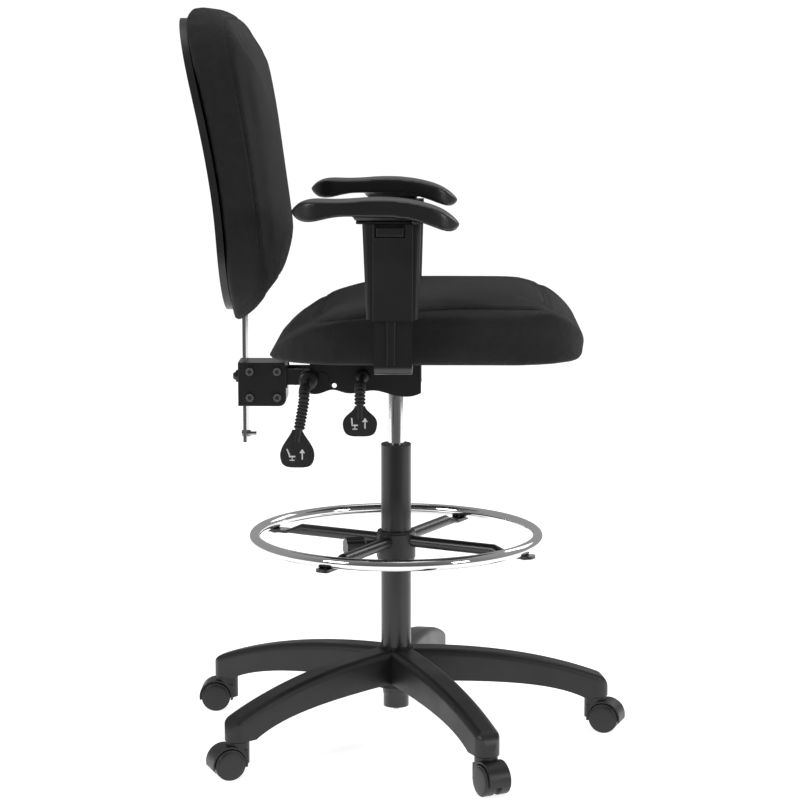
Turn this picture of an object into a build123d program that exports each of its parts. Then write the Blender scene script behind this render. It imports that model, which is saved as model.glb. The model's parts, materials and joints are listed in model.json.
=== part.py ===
from build123d import *
import math
import os

os.makedirs("parts", exist_ok=True)

# Drafting chair. The origin is on the floor, on the axis of the gas lift.
# +X is where the sitter faces, +Y is the sitter's left and +Z is up. Millimetres.

# ---- fits and clearances ----
RUNNING = 0.05          # radial gap of a pin or shaft that turns in its hole
SLIDING = 0.4           # gap round a flat part that slides

# ---- five-star base ----
ARMS = 5
BASE_TURN = 7.4         # degrees from +X to the first arm
STEM_CIRCLE_R = 340.7   # caster stems lie on this circle
SOCKET_R = 21.0
HUB_TOP_Z = 156.0
HUB_BOTTOM_Z = 90.0
HUB_COLLAR_R = 28.5
HUB_SKIRT_R = 38.0
ARM_ROOT_W = 50.0
ARM_WALL = 5.0
STEM_HOLE_DEPTH = 30.0

# ---- casters ----
STEM_R = 5.5
STEM_LENGTH = 26.0
WHEEL_R = 25.0
SOCKET_Z = 2 * WHEEL_R + 10.0   # underside of the caster sockets, clear above the wheels
ARM_END_Z = SOCKET_Z + 39.0     # top of the arm where it starts to turn down to the socket
WHEEL_W = 17.0
WEB_W = 7.0             # middle wall of the hood, between the two wheels
WHEEL_GAP = 1.0         # from the middle wall to a wheel's inner face
WHEEL_CLEAR = 1.2       # from the tread to the inside of the hood
HOOD_WALL = 2.6
HOOD_OPEN_Z = 19.0      # the hood ends this far above the floor
NECK_R = 18.5
TRAIL = 19.0            # from the stem's axis to the wheels' axle
AXLE_R = 3.0
SOCKET_GAP = 1.5        # from the socket down to the caster's neck
CASTER_TURNS = [341.0, 100.0, 180.0, 204.0, 298.0]   # how each caster happens to stand

# ---- gas lift ----
COLUMN_R = 25.0
COLUMN_WALL = 1.6
COLUMN_TOP_Z = 497.0
COLUMN_END_Z = 53.0
TAPER_TOP_Z = 150.0
TAPER_END_Z = 78.0
TAPER_END_R = 22.6
COLUMN_TAIL_R = 21.2
BUSH_LENGTH = 80.0
BUSH_RIM = 3.0
LIFT_R = 14.0
LIFT_WALL = 2.0
LIFT_BOTTOM_Z = 300.0
LIFT_TOP_Z = 634.0
LIFT_END_R = 13.2
LIFT_HEAD = 30.0        # solid valve head at the top of the lift tube
ROD_R = 5.0
ROD_TOP_Z = 470.0
PISTON_R = LIFT_R - LIFT_WALL - RUNNING
PISTON_H = 14.0
BEARING_R = 12.0
BEARING_H = 9.0
CLIP_R = 9.0
CLIP_T = 1.5
PIN_R = 3.0
PIN_PROUD = 6.0

# ---- foot ring ----
RING_Z = 344.0
RING_R = 235.8
RING_TUBE_R = 9.5
RING_TURN = -27.0       # degrees from +X to the first spoke
SPOKES = 4
SPOKE_TUBE_R = 9.5
SPOKE_DROP = 7.0        # spoke axis below the ring's axis
SPOKE_TAB_T = 5.0
SPOKE_TAB_W = 24.0
SPOKE_TAB_L = 44.0
SPOKE_PAST = 8.0        # the tab sticks out past the tube's outer side
RING_HUB_WALL = 4.4
SPOKE_SINK = 3.5        # how deep a spoke sits in the hub
RING_HUB_H = 44.0
SLEEVE_WALL = 3.0
SLEEVE_LIP = 3.0
KNOB_TURN = 198.0
KNOB_IN = 57.0
KNOB_OUT = 88.0
KNOB_R = 16.5
KNOB_STUD_R = 5.0

# ---- seat ----
PAN_Z = 661.0
PAN_T = 12.0
SEAT_REAR_X = -207.0
SEAT_FRONT_X = 309.0
SEAT_WIDTH = 500.0
SEAT_BOTTOM_Z = 661.0
SEAT_CORNER_R = 120.0
SEAT_CROWN = 100.0      # top of the crown above the underside
SEAT_SHOULDER = 30.0    # the sides start to round over this far below the crown
PAN_INSET = 26.0

# ---- mechanism ----
MECH_REAR_X = -139.0
MECH_FRONT_X = 42.0
MECH_HALF_W = 70.0
MECH_BOTTOM_Z = 594.0
MECH_T = 3.0
FLANGE_W = 26.0
CONE_R = 23.0
CONE_BOTTOM_Z = 588.0
BOLT_R = 4.0
BOLT_HEAD_R = 6.5
BOLT_HEAD_H = 5.0
PIVOT_X = -118.0
PIVOT_Z = 618.0
PIVOT_R = 6.0
SPARE_HOLE_X = -107.0
SPARE_HOLE_R = 4.0

# ---- levers ----
LEVER_ROD_R = 4.0
LEVER_OUT_Y = -200.0    # the paddles hang in this plane
LEVER_BEND_R = 16.0
BOOT_R = 9.0
BOOT_CORE_R = 6.6
PADDLE_T = 7.0

# ---- back bracket and clamp ----
BLOCK_REAR_X = -259.0
BLOCK_FRONT_X = -180.0
BLOCK_BOTTOM_Z = 566.0
BLOCK_TOP_Z = 638.0
BLOCK_HALF_W = 32.0
BLOCK_SCREW_R = 4.0
BLOCK_SCREW_HEAD_R = 6.5
BRACKET_T = 6.0
BRACKET_HALF_GAP = 22.0
BAR_X = -251.5          # rear face of the back bar
BAR_T = 5.5
BAR_HALF_W = 26.0
BAR_BOTTOM_Z = 505.0
BAR_TOP_Z = 900.0
STOP_Z = 516.0
PANEL_BOLT_ZS = (800.0, 870.0)
BAR_BOLT_R = 3.0
KNOB_Z = 612.0

# ---- backrest ----
BACK_WIDTH = 450.0
BACK_BOTTOM_Z = 713.0
BACK_TOP_Z = 1220.0
BACK_CORNER_R = 120.0
BACK_CROWN = 26.0       # how far the front of the cushion falls back at its sides
SHELL_T = 3.0
SHELL_DEPTH = 12.0      # from the shell's rear face to the cushion's rear face
PANEL_T = 8.0
PANEL_INSET = 24.0
PANEL_LIFT = 32.0       # from the shell's lower edge up to the panel's
BAR_CLEAR = 2.3         # from the bar to the panel

# ---- arms ----
ARM_Y = 284.0
PAD_X = -25.6
PAD_LENGTH = 258.0
PAD_WIDTH = 88.0
PAD_TOP_Z = 924.0
BRACKET_BAR_Z = 654.0
BRACKET_BAR_T = 6.0
BRACKET_INNER_Y = 96.0
POST_X = 1.0
POST_W = 58.0
POST_Y = 295.0          # middle of the upright bar's thickness
POST_TOP_Z = 810.0
RIB_W = 14.0
RIB_PROUD = 4.0
RIB_TOP_Z = 800.0
BEND_R = 8.0
ARM_SPREAD = 25.0       # how far each arm slides outward
SLEEVE_W_TOP = 89.0
SLEEVE_W_BOTTOM = 79.0
SLEEVE_OUT_Y = 310.0
SLEEVE_IN_Y = 268.0
SLEEVE_BOTTOM_Z = 741.0
SLEEVE_TOP_Z = 886.0
LATCH_X = -3.5
LATCH_W = 42.0
LATCH_H = 13.0
LATCH_Z = 874.5
LATCH_TRAVEL = 5.0
PLATE_T = 4.0


def finish(part, name):
    """Label a finished piece and write it to its own STEP file."""
    part.label = name
    export_step(part, f"parts/{name}.step")


# ============================== base ==============================
arm_end = (STEM_CIRCLE_R + 4, ARM_END_Z)
arm_tip_r = STEM_CIRCLE_R + SOCKET_R
arm_drop = HUB_TOP_Z - 2

with BuildPart() as arm_side:
    with BuildSketch(Plane.XZ):
        with BuildLine():
            top = Bezier((0, arm_drop), (190, arm_drop), (300, ARM_END_Z + 17), arm_end)
            nose = Bezier(arm_end, (arm_tip_r - 3, ARM_END_Z - 8), (arm_tip_r, ARM_END_Z - 18),
                          (arm_tip_r, SOCKET_Z))
            foot = Line(nose @ 1, (STEM_CIRCLE_R - SOCKET_R, SOCKET_Z))
            under = Bezier(foot @ 1, (STEM_CIRCLE_R - 70, SOCKET_Z + 26), (190, HUB_BOTTOM_Z + 8),
                           (0, HUB_BOTTOM_Z + 10))
            Line(under @ 1, top @ 0)
        make_face()
    extrude(amount=ARM_ROOT_W, both=True)

with BuildPart() as arm_plan:
    with BuildSketch(Plane.XY):
        with BuildLine():
            left = Line((0, ARM_ROOT_W / 2), (STEM_CIRCLE_R, SOCKET_R))
            end = RadiusArc(left @ 1, (STEM_CIRCLE_R, -SOCKET_R), SOCKET_R)
            right = Line(end @ 1, (0, -ARM_ROOT_W / 2))
            Line(right @ 1, left @ 0)
        make_face()
    extrude(amount=HUB_TOP_Z + 10)

with BuildPart() as arm_pockets:
    with BuildSketch(Plane.XZ):
        with BuildLine():
            roof = Bezier((60, arm_drop - 9), (190, arm_drop - 9), (265, ARM_END_Z + 16),
                          (STEM_CIRCLE_R - 30, ARM_END_Z + 2))
            drop = Line(roof @ 1, (STEM_CIRCLE_R - 30, 40))
            level = Line(drop @ 1, (60, 40))
            Line(level @ 1, roof @ 0)
        make_face()
    extrude(amount=SOCKET_R - ARM_WALL, both=True)
    for rib_x in (110, 160, 210, 258):
        with Locations((rib_x, 0, 95)):
            Box(3.5, 2 * ARM_ROOT_W, 130, mode=Mode.SUBTRACT)

with BuildPart() as one_arm:
    add(arm_side.part)
    add(arm_plan.part, mode=Mode.INTERSECT)
    crest = one_arm.edges().filter_by(lambda e: e.length > 250 and e.center().Z > 110)
    fillet(crest, 11)
    add(arm_pockets.part, mode=Mode.SUBTRACT)

with BuildPart() as five_star_base:
    with BuildSketch(Plane.XY.offset(HUB_BOTTOM_Z)):
        Circle(HUB_SKIRT_R)
    extrude(amount=HUB_TOP_Z - HUB_BOTTOM_Z - 16, taper=6)
    with BuildSketch(Plane.XY.offset(HUB_BOTTOM_Z)):
        Circle(HUB_COLLAR_R)
    extrude(amount=HUB_TOP_Z - HUB_BOTTOM_Z)
    for k in range(ARMS):
        add(one_arm.part, rotation=(0, 0, BASE_TURN + 360 / ARMS * k))
    with BuildSketch(Plane.XZ):
        with BuildLine():
            Polyline(
                (0, HUB_BOTTOM_Z - 40),
                (TAPER_END_R, HUB_BOTTOM_Z - 40),
                (TAPER_END_R + RUNNING, TAPER_END_Z),
                (COLUMN_R + RUNNING, TAPER_TOP_Z),
                (COLUMN_R + RUNNING, HUB_TOP_Z + 5),
                (0, HUB_TOP_Z + 5),
                close=True,
            )
        make_face()
    revolve(axis=Axis.Z, mode=Mode.SUBTRACT)
    with BuildSketch(Plane.XY.offset(SOCKET_Z)):
        with PolarLocations(STEM_CIRCLE_R, ARMS, start_angle=BASE_TURN):
            Circle(STEM_R + RUNNING)
    extrude(amount=STEM_HOLE_DEPTH, mode=Mode.SUBTRACT)
finish(five_star_base.part, "five_star_base")

# ============================ gas lift ============================
column_bore_r = COLUMN_R - COLUMN_WALL
with BuildPart() as column_outer_tube:
    with BuildSketch(Plane.XZ):
        with BuildLine():
            Polyline(
                (COLUMN_TAIL_R, COLUMN_END_Z),
                (COLUMN_TAIL_R, TAPER_END_Z - 6),
                (TAPER_END_R, TAPER_END_Z),
                (COLUMN_R, TAPER_TOP_Z),
                (COLUMN_R, COLUMN_TOP_Z),
                (column_bore_r, COLUMN_TOP_Z),
                (column_bore_r, TAPER_TOP_Z),
                (COLUMN_TAIL_R - 2, TAPER_END_Z),
                (COLUMN_TAIL_R - 2, COLUMN_END_Z + 4),
                (ROD_R + RUNNING, COLUMN_END_Z + 4),
                (ROD_R + RUNNING, COLUMN_END_Z),
                close=True,
            )
        make_face()
    revolve(axis=Axis.Z)
finish(column_outer_tube.part, "column_outer_tube")

with BuildPart() as column_guide_bush:
    with BuildSketch(Plane.XY.offset(COLUMN_TOP_Z - BUSH_LENGTH)):
        Circle(column_bore_r - RUNNING)
        Circle(LIFT_R + RUNNING, mode=Mode.SUBTRACT)
    extrude(amount=BUSH_LENGTH)
    with BuildSketch(Plane.XY.offset(COLUMN_TOP_Z)):
        Circle(COLUMN_R)
        Circle(LIFT_R + RUNNING, mode=Mode.SUBTRACT)
    extrude(amount=BUSH_RIM)
    rim = column_guide_bush.edges().filter_by(GeomType.CIRCLE).group_by(Axis.Z)[-1].sort_by(SortBy.RADIUS)[-1]
    fillet(rim, 1.2)
finish(column_guide_bush.part, "column_guide_bush")

bearing_z = COLUMN_END_Z + 4
with BuildPart() as column_thrust_bearing:
    with BuildSketch(Plane.XY.offset(bearing_z)):
        Circle(BEARING_R)
        Circle(ROD_R + 2 * RUNNING, mode=Mode.SUBTRACT)
    extrude(amount=2)
    with PolarLocations(BEARING_R - 3.5, 8):
        with Locations((0, 0, bearing_z + BEARING_H / 2)):
            Sphere(BEARING_H / 2 - 2)
    with BuildSketch(Plane.XY.offset(bearing_z + BEARING_H - 2)):
        Circle(BEARING_R)
        Circle(ROD_R + 2 * RUNNING, mode=Mode.SUBTRACT)
    extrude(amount=2)
finish(column_thrust_bearing.part, "column_thrust_bearing")

rod_end_z = COLUMN_END_Z - 7
groove_z = COLUMN_END_Z - 1 - CLIP_T
with BuildPart() as column_piston_rod:
    with BuildSketch(Plane.XY.offset(rod_end_z)):
        Circle(ROD_R)
    extrude(amount=ROD_TOP_Z - rod_end_z)
    with BuildSketch(Plane.XY.offset(ROD_TOP_Z - PISTON_H)):
        Circle(PISTON_R)
    extrude(amount=PISTON_H)
    with BuildSketch(Plane.XY.offset(bearing_z + BEARING_H + 0.1)):
        Circle(ROD_R + 3)
    extrude(amount=3)
    with BuildSketch(Plane.XY.offset(groove_z)):
        Circle(ROD_R + 1)
        Circle(ROD_R - 1, mode=Mode.SUBTRACT)
    extrude(amount=CLIP_T, mode=Mode.SUBTRACT)
finish(column_piston_rod.part, "column_piston_rod")

with BuildPart() as column_retaining_clip:
    with BuildSketch(Plane.XY.offset(groove_z)):
        Circle(CLIP_R)
        Circle(ROD_R - 1 + RUNNING, mode=Mode.SUBTRACT)
        with Locations((CLIP_R, 0)):
            Rectangle(2 * CLIP_R, 5, mode=Mode.SUBTRACT)
    extrude(amount=CLIP_T)
finish(column_retaining_clip.part, "column_retaining_clip")

lift_bore_r = LIFT_R - LIFT_WALL
head_z = LIFT_TOP_Z - LIFT_HEAD
with BuildPart() as column_pressure_tube:
    with BuildSketch(Plane.XZ):
        with BuildLine():
            Polyline(
                (ROD_R + RUNNING, LIFT_BOTTOM_Z),
                (LIFT_R, LIFT_BOTTOM_Z),
                (LIFT_R, CONE_BOTTOM_Z),
                (LIFT_END_R, LIFT_TOP_Z),
                (PIN_R + RUNNING, LIFT_TOP_Z),
                (PIN_R + RUNNING, head_z),
                (lift_bore_r, head_z),
                (lift_bore_r, LIFT_BOTTOM_Z + 16),
                (ROD_R + RUNNING, LIFT_BOTTOM_Z + 16),
                close=True,
            )
        make_face()
    revolve(axis=Axis.Z)
finish(column_pressure_tube.part, "column_pressure_tube")

with BuildPart() as column_valve_pin:
    with BuildSketch(Plane.XY.offset(head_z + 4)):
        Circle(PIN_R)
    extrude(amount=LIFT_HEAD - 4 + PIN_PROUD)
    tip = column_valve_pin.edges().group_by(Axis.Z)[-1]
    fillet(tip, 1)
finish(column_valve_pin.part, "column_valve_pin")

# ============================ casters =============================
hood_r = WHEEL_R + WHEEL_CLEAR + HOOD_WALL
wheel_in_y = WEB_W / 2 + WHEEL_GAP
wheel_out_y = wheel_in_y + WHEEL_W
neck_top_z = SOCKET_Z - SOCKET_GAP

# Each caster is modelled with its stem on the Z axis, trailing towards +X.
with BuildPart() as hood:
    with BuildSketch(Plane.XZ):
        with Locations((TRAIL, WHEEL_R)):
            Circle(hood_r)
        with Locations((TRAIL / 2 - 8, WHEEL_R + 8)):
            Rectangle(TRAIL + 5, 2 * hood_r - 30)
        with Locations((TRAIL, HOOD_OPEN_Z - 50)):
            Rectangle(4 * hood_r, 100, mode=Mode.SUBTRACT)
    extrude(amount=wheel_out_y - 3, both=True)
    with BuildSketch(Plane.XY.offset(HOOD_OPEN_Z + 4)):
        Circle(NECK_R)
    extrude(amount=neck_top_z - HOOD_OPEN_Z - 4)
    for side in (-1, 1):
        with BuildSketch(Plane.XZ.offset(side * WEB_W / 2)):
            with Locations((TRAIL, WHEEL_R)):
                Circle(WHEEL_R + WHEEL_CLEAR)
        extrude(amount=side * WHEEL_W * 3, mode=Mode.SUBTRACT)
    with BuildSketch(Plane.XZ):
        with Locations((TRAIL, WHEEL_R)):
            Circle(AXLE_R + RUNNING)
    extrude(amount=2 * WHEEL_W, both=True, mode=Mode.SUBTRACT)
    with BuildSketch(Plane.XY.offset(neck_top_z)):
        Circle(STEM_R + RUNNING)
    extrude(amount=-(STEM_LENGTH - 12), mode=Mode.SUBTRACT)

with BuildPart() as stem:
    with BuildSketch(Plane.XY.offset(neck_top_z - STEM_LENGTH + 12.2)):
        Circle(STEM_R)
    extrude(amount=2 * STEM_LENGTH - 14)
    ends = stem.edges().filter_by(GeomType.CIRCLE)
    chamfer(ends, 0.8)

with BuildPart() as wheelset:
    for side in (-1, 1):
        with BuildSketch(Plane.XZ.offset(-side * wheel_in_y)):
            with Locations((TRAIL, WHEEL_R)):
                Circle(WHEEL_R)
                Circle(AXLE_R, mode=Mode.SUBTRACT)
        extrude(amount=-side * WHEEL_W)
    tread_edges = wheelset.edges().filter_by(GeomType.CIRCLE).filter_by(lambda e: e.radius > AXLE_R + 1)
    fillet(tread_edges, 1.6)

with BuildPart() as axle:
    with BuildSketch(Plane.XZ):
        with Locations((TRAIL, WHEEL_R)):
            Circle(AXLE_R)
    extrude(amount=wheel_out_y - 2, both=True)

for number, caster_turn in enumerate(CASTER_TURNS, start=1):
    arm_turn = math.radians(BASE_TURN + 360 / ARMS * (number - 1))
    spot = (STEM_CIRCLE_R * math.cos(arm_turn), STEM_CIRCLE_R * math.sin(arm_turn), 0)
    place = Location(spot, (0, 0, caster_turn))
    finish(hood.part.moved(place), f"caster_hood_{number}")
    finish(stem.part.moved(place), f"caster_stem_{number}")
    pair = Compound(children=[s.moved(place) for s in wheelset.part.solids() + axle.part.solids()])
    finish(pair, f"caster_wheelset_{number}")

# =========================== foot ring ============================
ring_hub_z = RING_Z - 15 - RING_HUB_H / 2
spoke_z = RING_Z - SPOKE_DROP
tab_top_z = RING_Z - RING_TUBE_R
sleeve_r = COLUMN_R + RUNNING + SLEEVE_WALL
ring_hub_r = sleeve_r + RUNNING + RING_HUB_WALL

with BuildPart() as footring_sleeve:
    with BuildSketch(Plane.XY.offset(ring_hub_z - 2)):
        Circle(sleeve_r)
    extrude(amount=RING_HUB_H + 4)
    for lip_z in (ring_hub_z - 2 - 0.1, ring_hub_z + RING_HUB_H + 0.1):
        with BuildSketch(Plane.XY.offset(lip_z)):
            Circle(sleeve_r + SLEEVE_LIP)
        extrude(amount=2)
    with BuildSketch(Plane.XY.offset(ring_hub_z - 5)):
        Circle(COLUMN_R + RUNNING)
    extrude(amount=RING_HUB_H + 10, mode=Mode.SUBTRACT)
    with Locations((-COLUMN_R, 0, ring_hub_z + RING_HUB_H / 2)):
        Box(16, 3, RING_HUB_H + 10, mode=Mode.SUBTRACT)
finish(footring_sleeve.part, "footring_sleeve")

knob_z = ring_hub_z + RING_HUB_H / 2 - 0.5
knob_plane = Plane(origin=(0, 0, knob_z), x_dir=(-math.sin(math.radians(KNOB_TURN)),
                   math.cos(math.radians(KNOB_TURN)), 0),
                   z_dir=(math.cos(math.radians(KNOB_TURN)), math.sin(math.radians(KNOB_TURN)), 0))

with BuildPart() as footring_hub:
    with BuildSketch(Plane.XY.offset(ring_hub_z)):
        Circle(ring_hub_r)
    extrude(amount=RING_HUB_H)
    chamfer(footring_hub.edges(), 1.5)
    with BuildSketch(knob_plane):
        Circle(KNOB_STUD_R + 5)
    extrude(amount=KNOB_IN - 4)
    with BuildSketch(Plane.XY.offset(ring_hub_z - 5)):
        Circle(sleeve_r + RUNNING)
    extrude(amount=RING_HUB_H + 10, mode=Mode.SUBTRACT)
    with BuildSketch(knob_plane):
        Circle(KNOB_STUD_R + RUNNING)
    extrude(amount=KNOB_IN + 5, mode=Mode.SUBTRACT)
    for k in range(SPOKES):
        turn = math.radians(RING_TURN + 360 / SPOKES * k)
        spoke_plane = Plane(origin=(0, 0, spoke_z), z_dir=(math.cos(turn), math.sin(turn), 0))
        with BuildSketch(spoke_plane.offset(ring_hub_r - SPOKE_SINK)):
            Circle(SPOKE_TUBE_R)
        extrude(amount=10, mode=Mode.SUBTRACT)
finish(footring_hub.part, "footring_hub")

tab_in = RING_R - SPOKE_TAB_L / 2 - 6
with BuildPart() as one_spoke:
    with BuildSketch(Plane.YZ.offset(ring_hub_r - SPOKE_SINK)):
        with Locations((0, spoke_z)):
            Circle(SPOKE_TUBE_R)
    with BuildSketch(Plane.YZ.offset(tab_in - 26)):
        with Locations((0, spoke_z)):
            Circle(SPOKE_TUBE_R)
    loft()
    with BuildSketch(Plane.YZ.offset(tab_in - 26)):
        with Locations((0, spoke_z)):
            Circle(SPOKE_TUBE_R)
    with BuildSketch(Plane.YZ.offset(tab_in)):
        with Locations((0, tab_top_z - SPOKE_TAB_T / 2)):
            Ellipse(SPOKE_TAB_W / 2, SPOKE_TAB_T / 2 + 0.8)
    loft()
    with BuildSketch(Plane.XY.offset(tab_top_z - SPOKE_TAB_T)):
        with Locations(((tab_in + RING_R + RING_TUBE_R + SPOKE_PAST) / 2 - 2, 0)):
            RectangleRounded(RING_R + RING_TUBE_R + SPOKE_PAST - tab_in + 4, SPOKE_TAB_W, 8)
    extrude(amount=SPOKE_TAB_T - 0.01)
    with BuildSketch(Plane.XY.offset(tab_top_z - 20)):
        with Locations((RING_R, 0)):
            Circle(3.1)
    extrude(amount=40, mode=Mode.SUBTRACT)
    with Locations((RING_R, 0, tab_top_z + 10)):
        Box(60, 60, 20, mode=Mode.SUBTRACT)

with BuildPart() as footring_spokes:
    with PolarLocations(0, SPOKES, start_angle=RING_TURN):
        add(one_spoke.part)
finish(footring_spokes.part, "footring_spokes")

with BuildPart() as footring_ring:
    with Locations((0, 0, RING_Z)):
        Torus(RING_R, RING_TUBE_R)
    with BuildSketch(Plane.XY.offset(RING_Z - RING_TUBE_R - 1)):
        with PolarLocations(RING_R, SPOKES, start_angle=RING_TURN):
            Circle(3.05)
    extrude(amount=7, mode=Mode.SUBTRACT)
finish(footring_ring.part, "footring_ring")

with BuildPart() as footring_screws:
    with BuildSketch(Plane.XY.offset(tab_top_z - SPOKE_TAB_T - 3)):
        with PolarLocations(RING_R, SPOKES, start_angle=RING_TURN):
            Circle(6)
    extrude(amount=3)
    with BuildSketch(Plane.XY.offset(tab_top_z - SPOKE_TAB_T)):
        with PolarLocations(RING_R, SPOKES, start_angle=RING_TURN):
            Circle(3)
    extrude(amount=SPOKE_TAB_T + 5)
finish(footring_screws.part, "footring_screws")

with BuildPart() as footring_lock_knob:
    with BuildSketch(knob_plane.offset(sleeve_r + 0.6)):
        Circle(KNOB_STUD_R)
    extrude(amount=KNOB_IN - sleeve_r)
    with BuildSketch(knob_plane.offset(KNOB_IN)):
        Circle(KNOB_R)
        with PolarLocations(KNOB_R + 3, 8):
            Circle(5, mode=Mode.SUBTRACT)
    extrude(amount=KNOB_OUT - KNOB_IN)
finish(footring_lock_knob.part, "footring_lock_knob")

# ============================== seat ==============================
seat_mid_x = (SEAT_REAR_X + SEAT_FRONT_X) / 2
seat_length = SEAT_FRONT_X - SEAT_REAR_X
pan_length = seat_length - 2 * PAN_INSET
pan_width = SEAT_WIDTH - 2 * PAN_INSET
crown_z = SEAT_BOTTOM_Z + SEAT_CROWN
shoulder_z = crown_z - SEAT_SHOULDER
with BuildPart() as seat_side:
    with BuildSketch(Plane.XZ):
        with BuildLine():
            crown = Spline(
                (SEAT_REAR_X, SEAT_BOTTOM_Z + 5),
                (SEAT_REAR_X + 17, SEAT_BOTTOM_Z + 0.27 * SEAT_CROWN),
                (SEAT_REAR_X + 47, SEAT_BOTTOM_Z + 0.47 * SEAT_CROWN),
                (SEAT_REAR_X + 108, SEAT_BOTTOM_Z + 0.70 * SEAT_CROWN),
                (SEAT_REAR_X + 207, SEAT_BOTTOM_Z + 0.91 * SEAT_CROWN),
                (SEAT_FRONT_X - 209, SEAT_BOTTOM_Z + 0.99 * SEAT_CROWN),
                (SEAT_FRONT_X - 109, SEAT_BOTTOM_Z + 0.94 * SEAT_CROWN),
                (SEAT_FRONT_X - 54, SEAT_BOTTOM_Z + 0.83 * SEAT_CROWN),
                (SEAT_FRONT_X - 19, SEAT_BOTTOM_Z + 0.62 * SEAT_CROWN),
                (SEAT_FRONT_X, SEAT_BOTTOM_Z + 0.27 * SEAT_CROWN),
                (SEAT_FRONT_X - 8, SEAT_BOTTOM_Z + 9),
                (SEAT_FRONT_X - 26, SEAT_BOTTOM_Z),
            )
            floor_line = Line(crown @ 1, (SEAT_REAR_X + 12, SEAT_BOTTOM_Z))
            Line(floor_line @ 1, crown @ 0)
        make_face()
    extrude(amount=SEAT_WIDTH, both=True)

with BuildPart() as seat_front:
    with BuildSketch(Plane.YZ.offset(SEAT_REAR_X - 20)):
        with BuildLine():
            Bezier((0, crown_z), (-170, crown_z), (-SEAT_WIDTH / 2, crown_z - 10),
                   (-SEAT_WIDTH / 2, shoulder_z))
            base = Polyline((-SEAT_WIDTH / 2, shoulder_z), (-SEAT_WIDTH / 2, SEAT_BOTTOM_Z - 5),
                            (SEAT_WIDTH / 2, SEAT_BOTTOM_Z - 5), (SEAT_WIDTH / 2, shoulder_z))
            Bezier(base @ 1, (SEAT_WIDTH / 2, crown_z - 10), (170, crown_z), (0, crown_z))
        make_face()
    extrude(amount=seat_length + 40)

with BuildPart() as seat_cushion:
    with BuildSketch(Plane.XY.offset(SEAT_BOTTOM_Z - 5)):
        with Locations((seat_mid_x, 0)):
            RectangleRounded(seat_length, SEAT_WIDTH, SEAT_CORNER_R)
    extrude(amount=150)
    add(seat_side.part, mode=Mode.INTERSECT)
    add(seat_front.part, mode=Mode.INTERSECT)
    with BuildSketch(Plane.XY.offset(SEAT_BOTTOM_Z - 5)):
        with Locations((seat_mid_x, 0)):
            RectangleRounded(pan_length + 1, pan_width + 1, SEAT_CORNER_R - PAN_INSET)
    extrude(amount=PAN_Z + PAN_T - SEAT_BOTTOM_Z + 5, mode=Mode.SUBTRACT)
finish(seat_cushion.part, "seat_cushion")

plate_bolts = [(MECH_REAR_X + 22, 1), (MECH_FRONT_X - 22, 1), (MECH_REAR_X + 22, -1), (MECH_FRONT_X - 22, -1)]
plate_bolt_y = MECH_HALF_W + FLANGE_W / 2
arm_bolt_ys = (BRACKET_INNER_Y + 34, BRACKET_INNER_Y + 68)
arm_bolts = [(POST_X, s * y) for s in (-1, 1) for y in arm_bolt_ys]
bolt_spots = [(x, s * plate_bolt_y) for x, s in plate_bolts] + arm_bolts

with BuildPart() as seat_pan:
    with BuildSketch(Plane.XY.offset(PAN_Z)):
        with Locations((seat_mid_x, 0)):
            RectangleRounded(pan_length, pan_width, SEAT_CORNER_R - PAN_INSET - 0.5)
        with Locations(*bolt_spots):
            Circle(BOLT_R + RUNNING, mode=Mode.SUBTRACT)
    extrude(amount=PAN_T)
finish(seat_pan.part, "seat_pan")

# =========================== mechanism ============================
plate_z = PAN_Z - MECH_T
with BuildPart() as mechanism_plate:
    with BuildSketch(Plane.XY.offset(plate_z)):
        with Locations(((MECH_REAR_X + MECH_FRONT_X) / 2, 0)):
            Rectangle(MECH_FRONT_X - MECH_REAR_X, 2 * (MECH_HALF_W + FLANGE_W))
        with Locations(*[(x, s * plate_bolt_y) for x, s in plate_bolts]):
            Circle(BOLT_R + RUNNING, mode=Mode.SUBTRACT)
    extrude(amount=MECH_T)
    outer_corners = mechanism_plate.edges().filter_by(Axis.Z).filter_by(
        lambda e: abs(e.center().Y) > MECH_HALF_W + FLANGE_W - 1)
    fillet(outer_corners, 10)
    for side in (-1, 1):
        with BuildSketch(Plane.XZ.offset(-side * (MECH_HALF_W - MECH_T))):
            with BuildLine():
                low = MECH_BOTTOM_Z
                edge = Spline(
                    (MECH_REAR_X, low - 1),
                    (MECH_REAR_X + 20, low),
                    (MECH_REAR_X + 36, low + 5),
                    (MECH_REAR_X + 58, low),
                    (MECH_REAR_X + 76, low),
                    (MECH_REAR_X + 105, low + 4),
                    (MECH_REAR_X + 124, low),
                    (MECH_FRONT_X, low),
                )
                front = Line(edge @ 1, (MECH_FRONT_X, plate_z + 1))
                over = Line(front @ 1, (MECH_REAR_X, plate_z + 1))
                Line(over @ 1, edge @ 0)
            make_face()
            with Locations((SPARE_HOLE_X + 8, MECH_BOTTOM_Z + 12)):
                Circle(SPARE_HOLE_R, mode=Mode.SUBTRACT)
            with Locations((PIVOT_X, PIVOT_Z)):
                Circle(PIVOT_R, mode=Mode.SUBTRACT)
        extrude(amount=-side * MECH_T)
    with Locations((MECH_FRONT_X - MECH_T / 2, 0, (MECH_BOTTOM_Z + plate_z) / 2 + 6)):
        Box(MECH_T, 2 * MECH_HALF_W - 2, plate_z - MECH_BOTTOM_Z - 12)
finish(mechanism_plate.part, "mechanism_plate")

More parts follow.
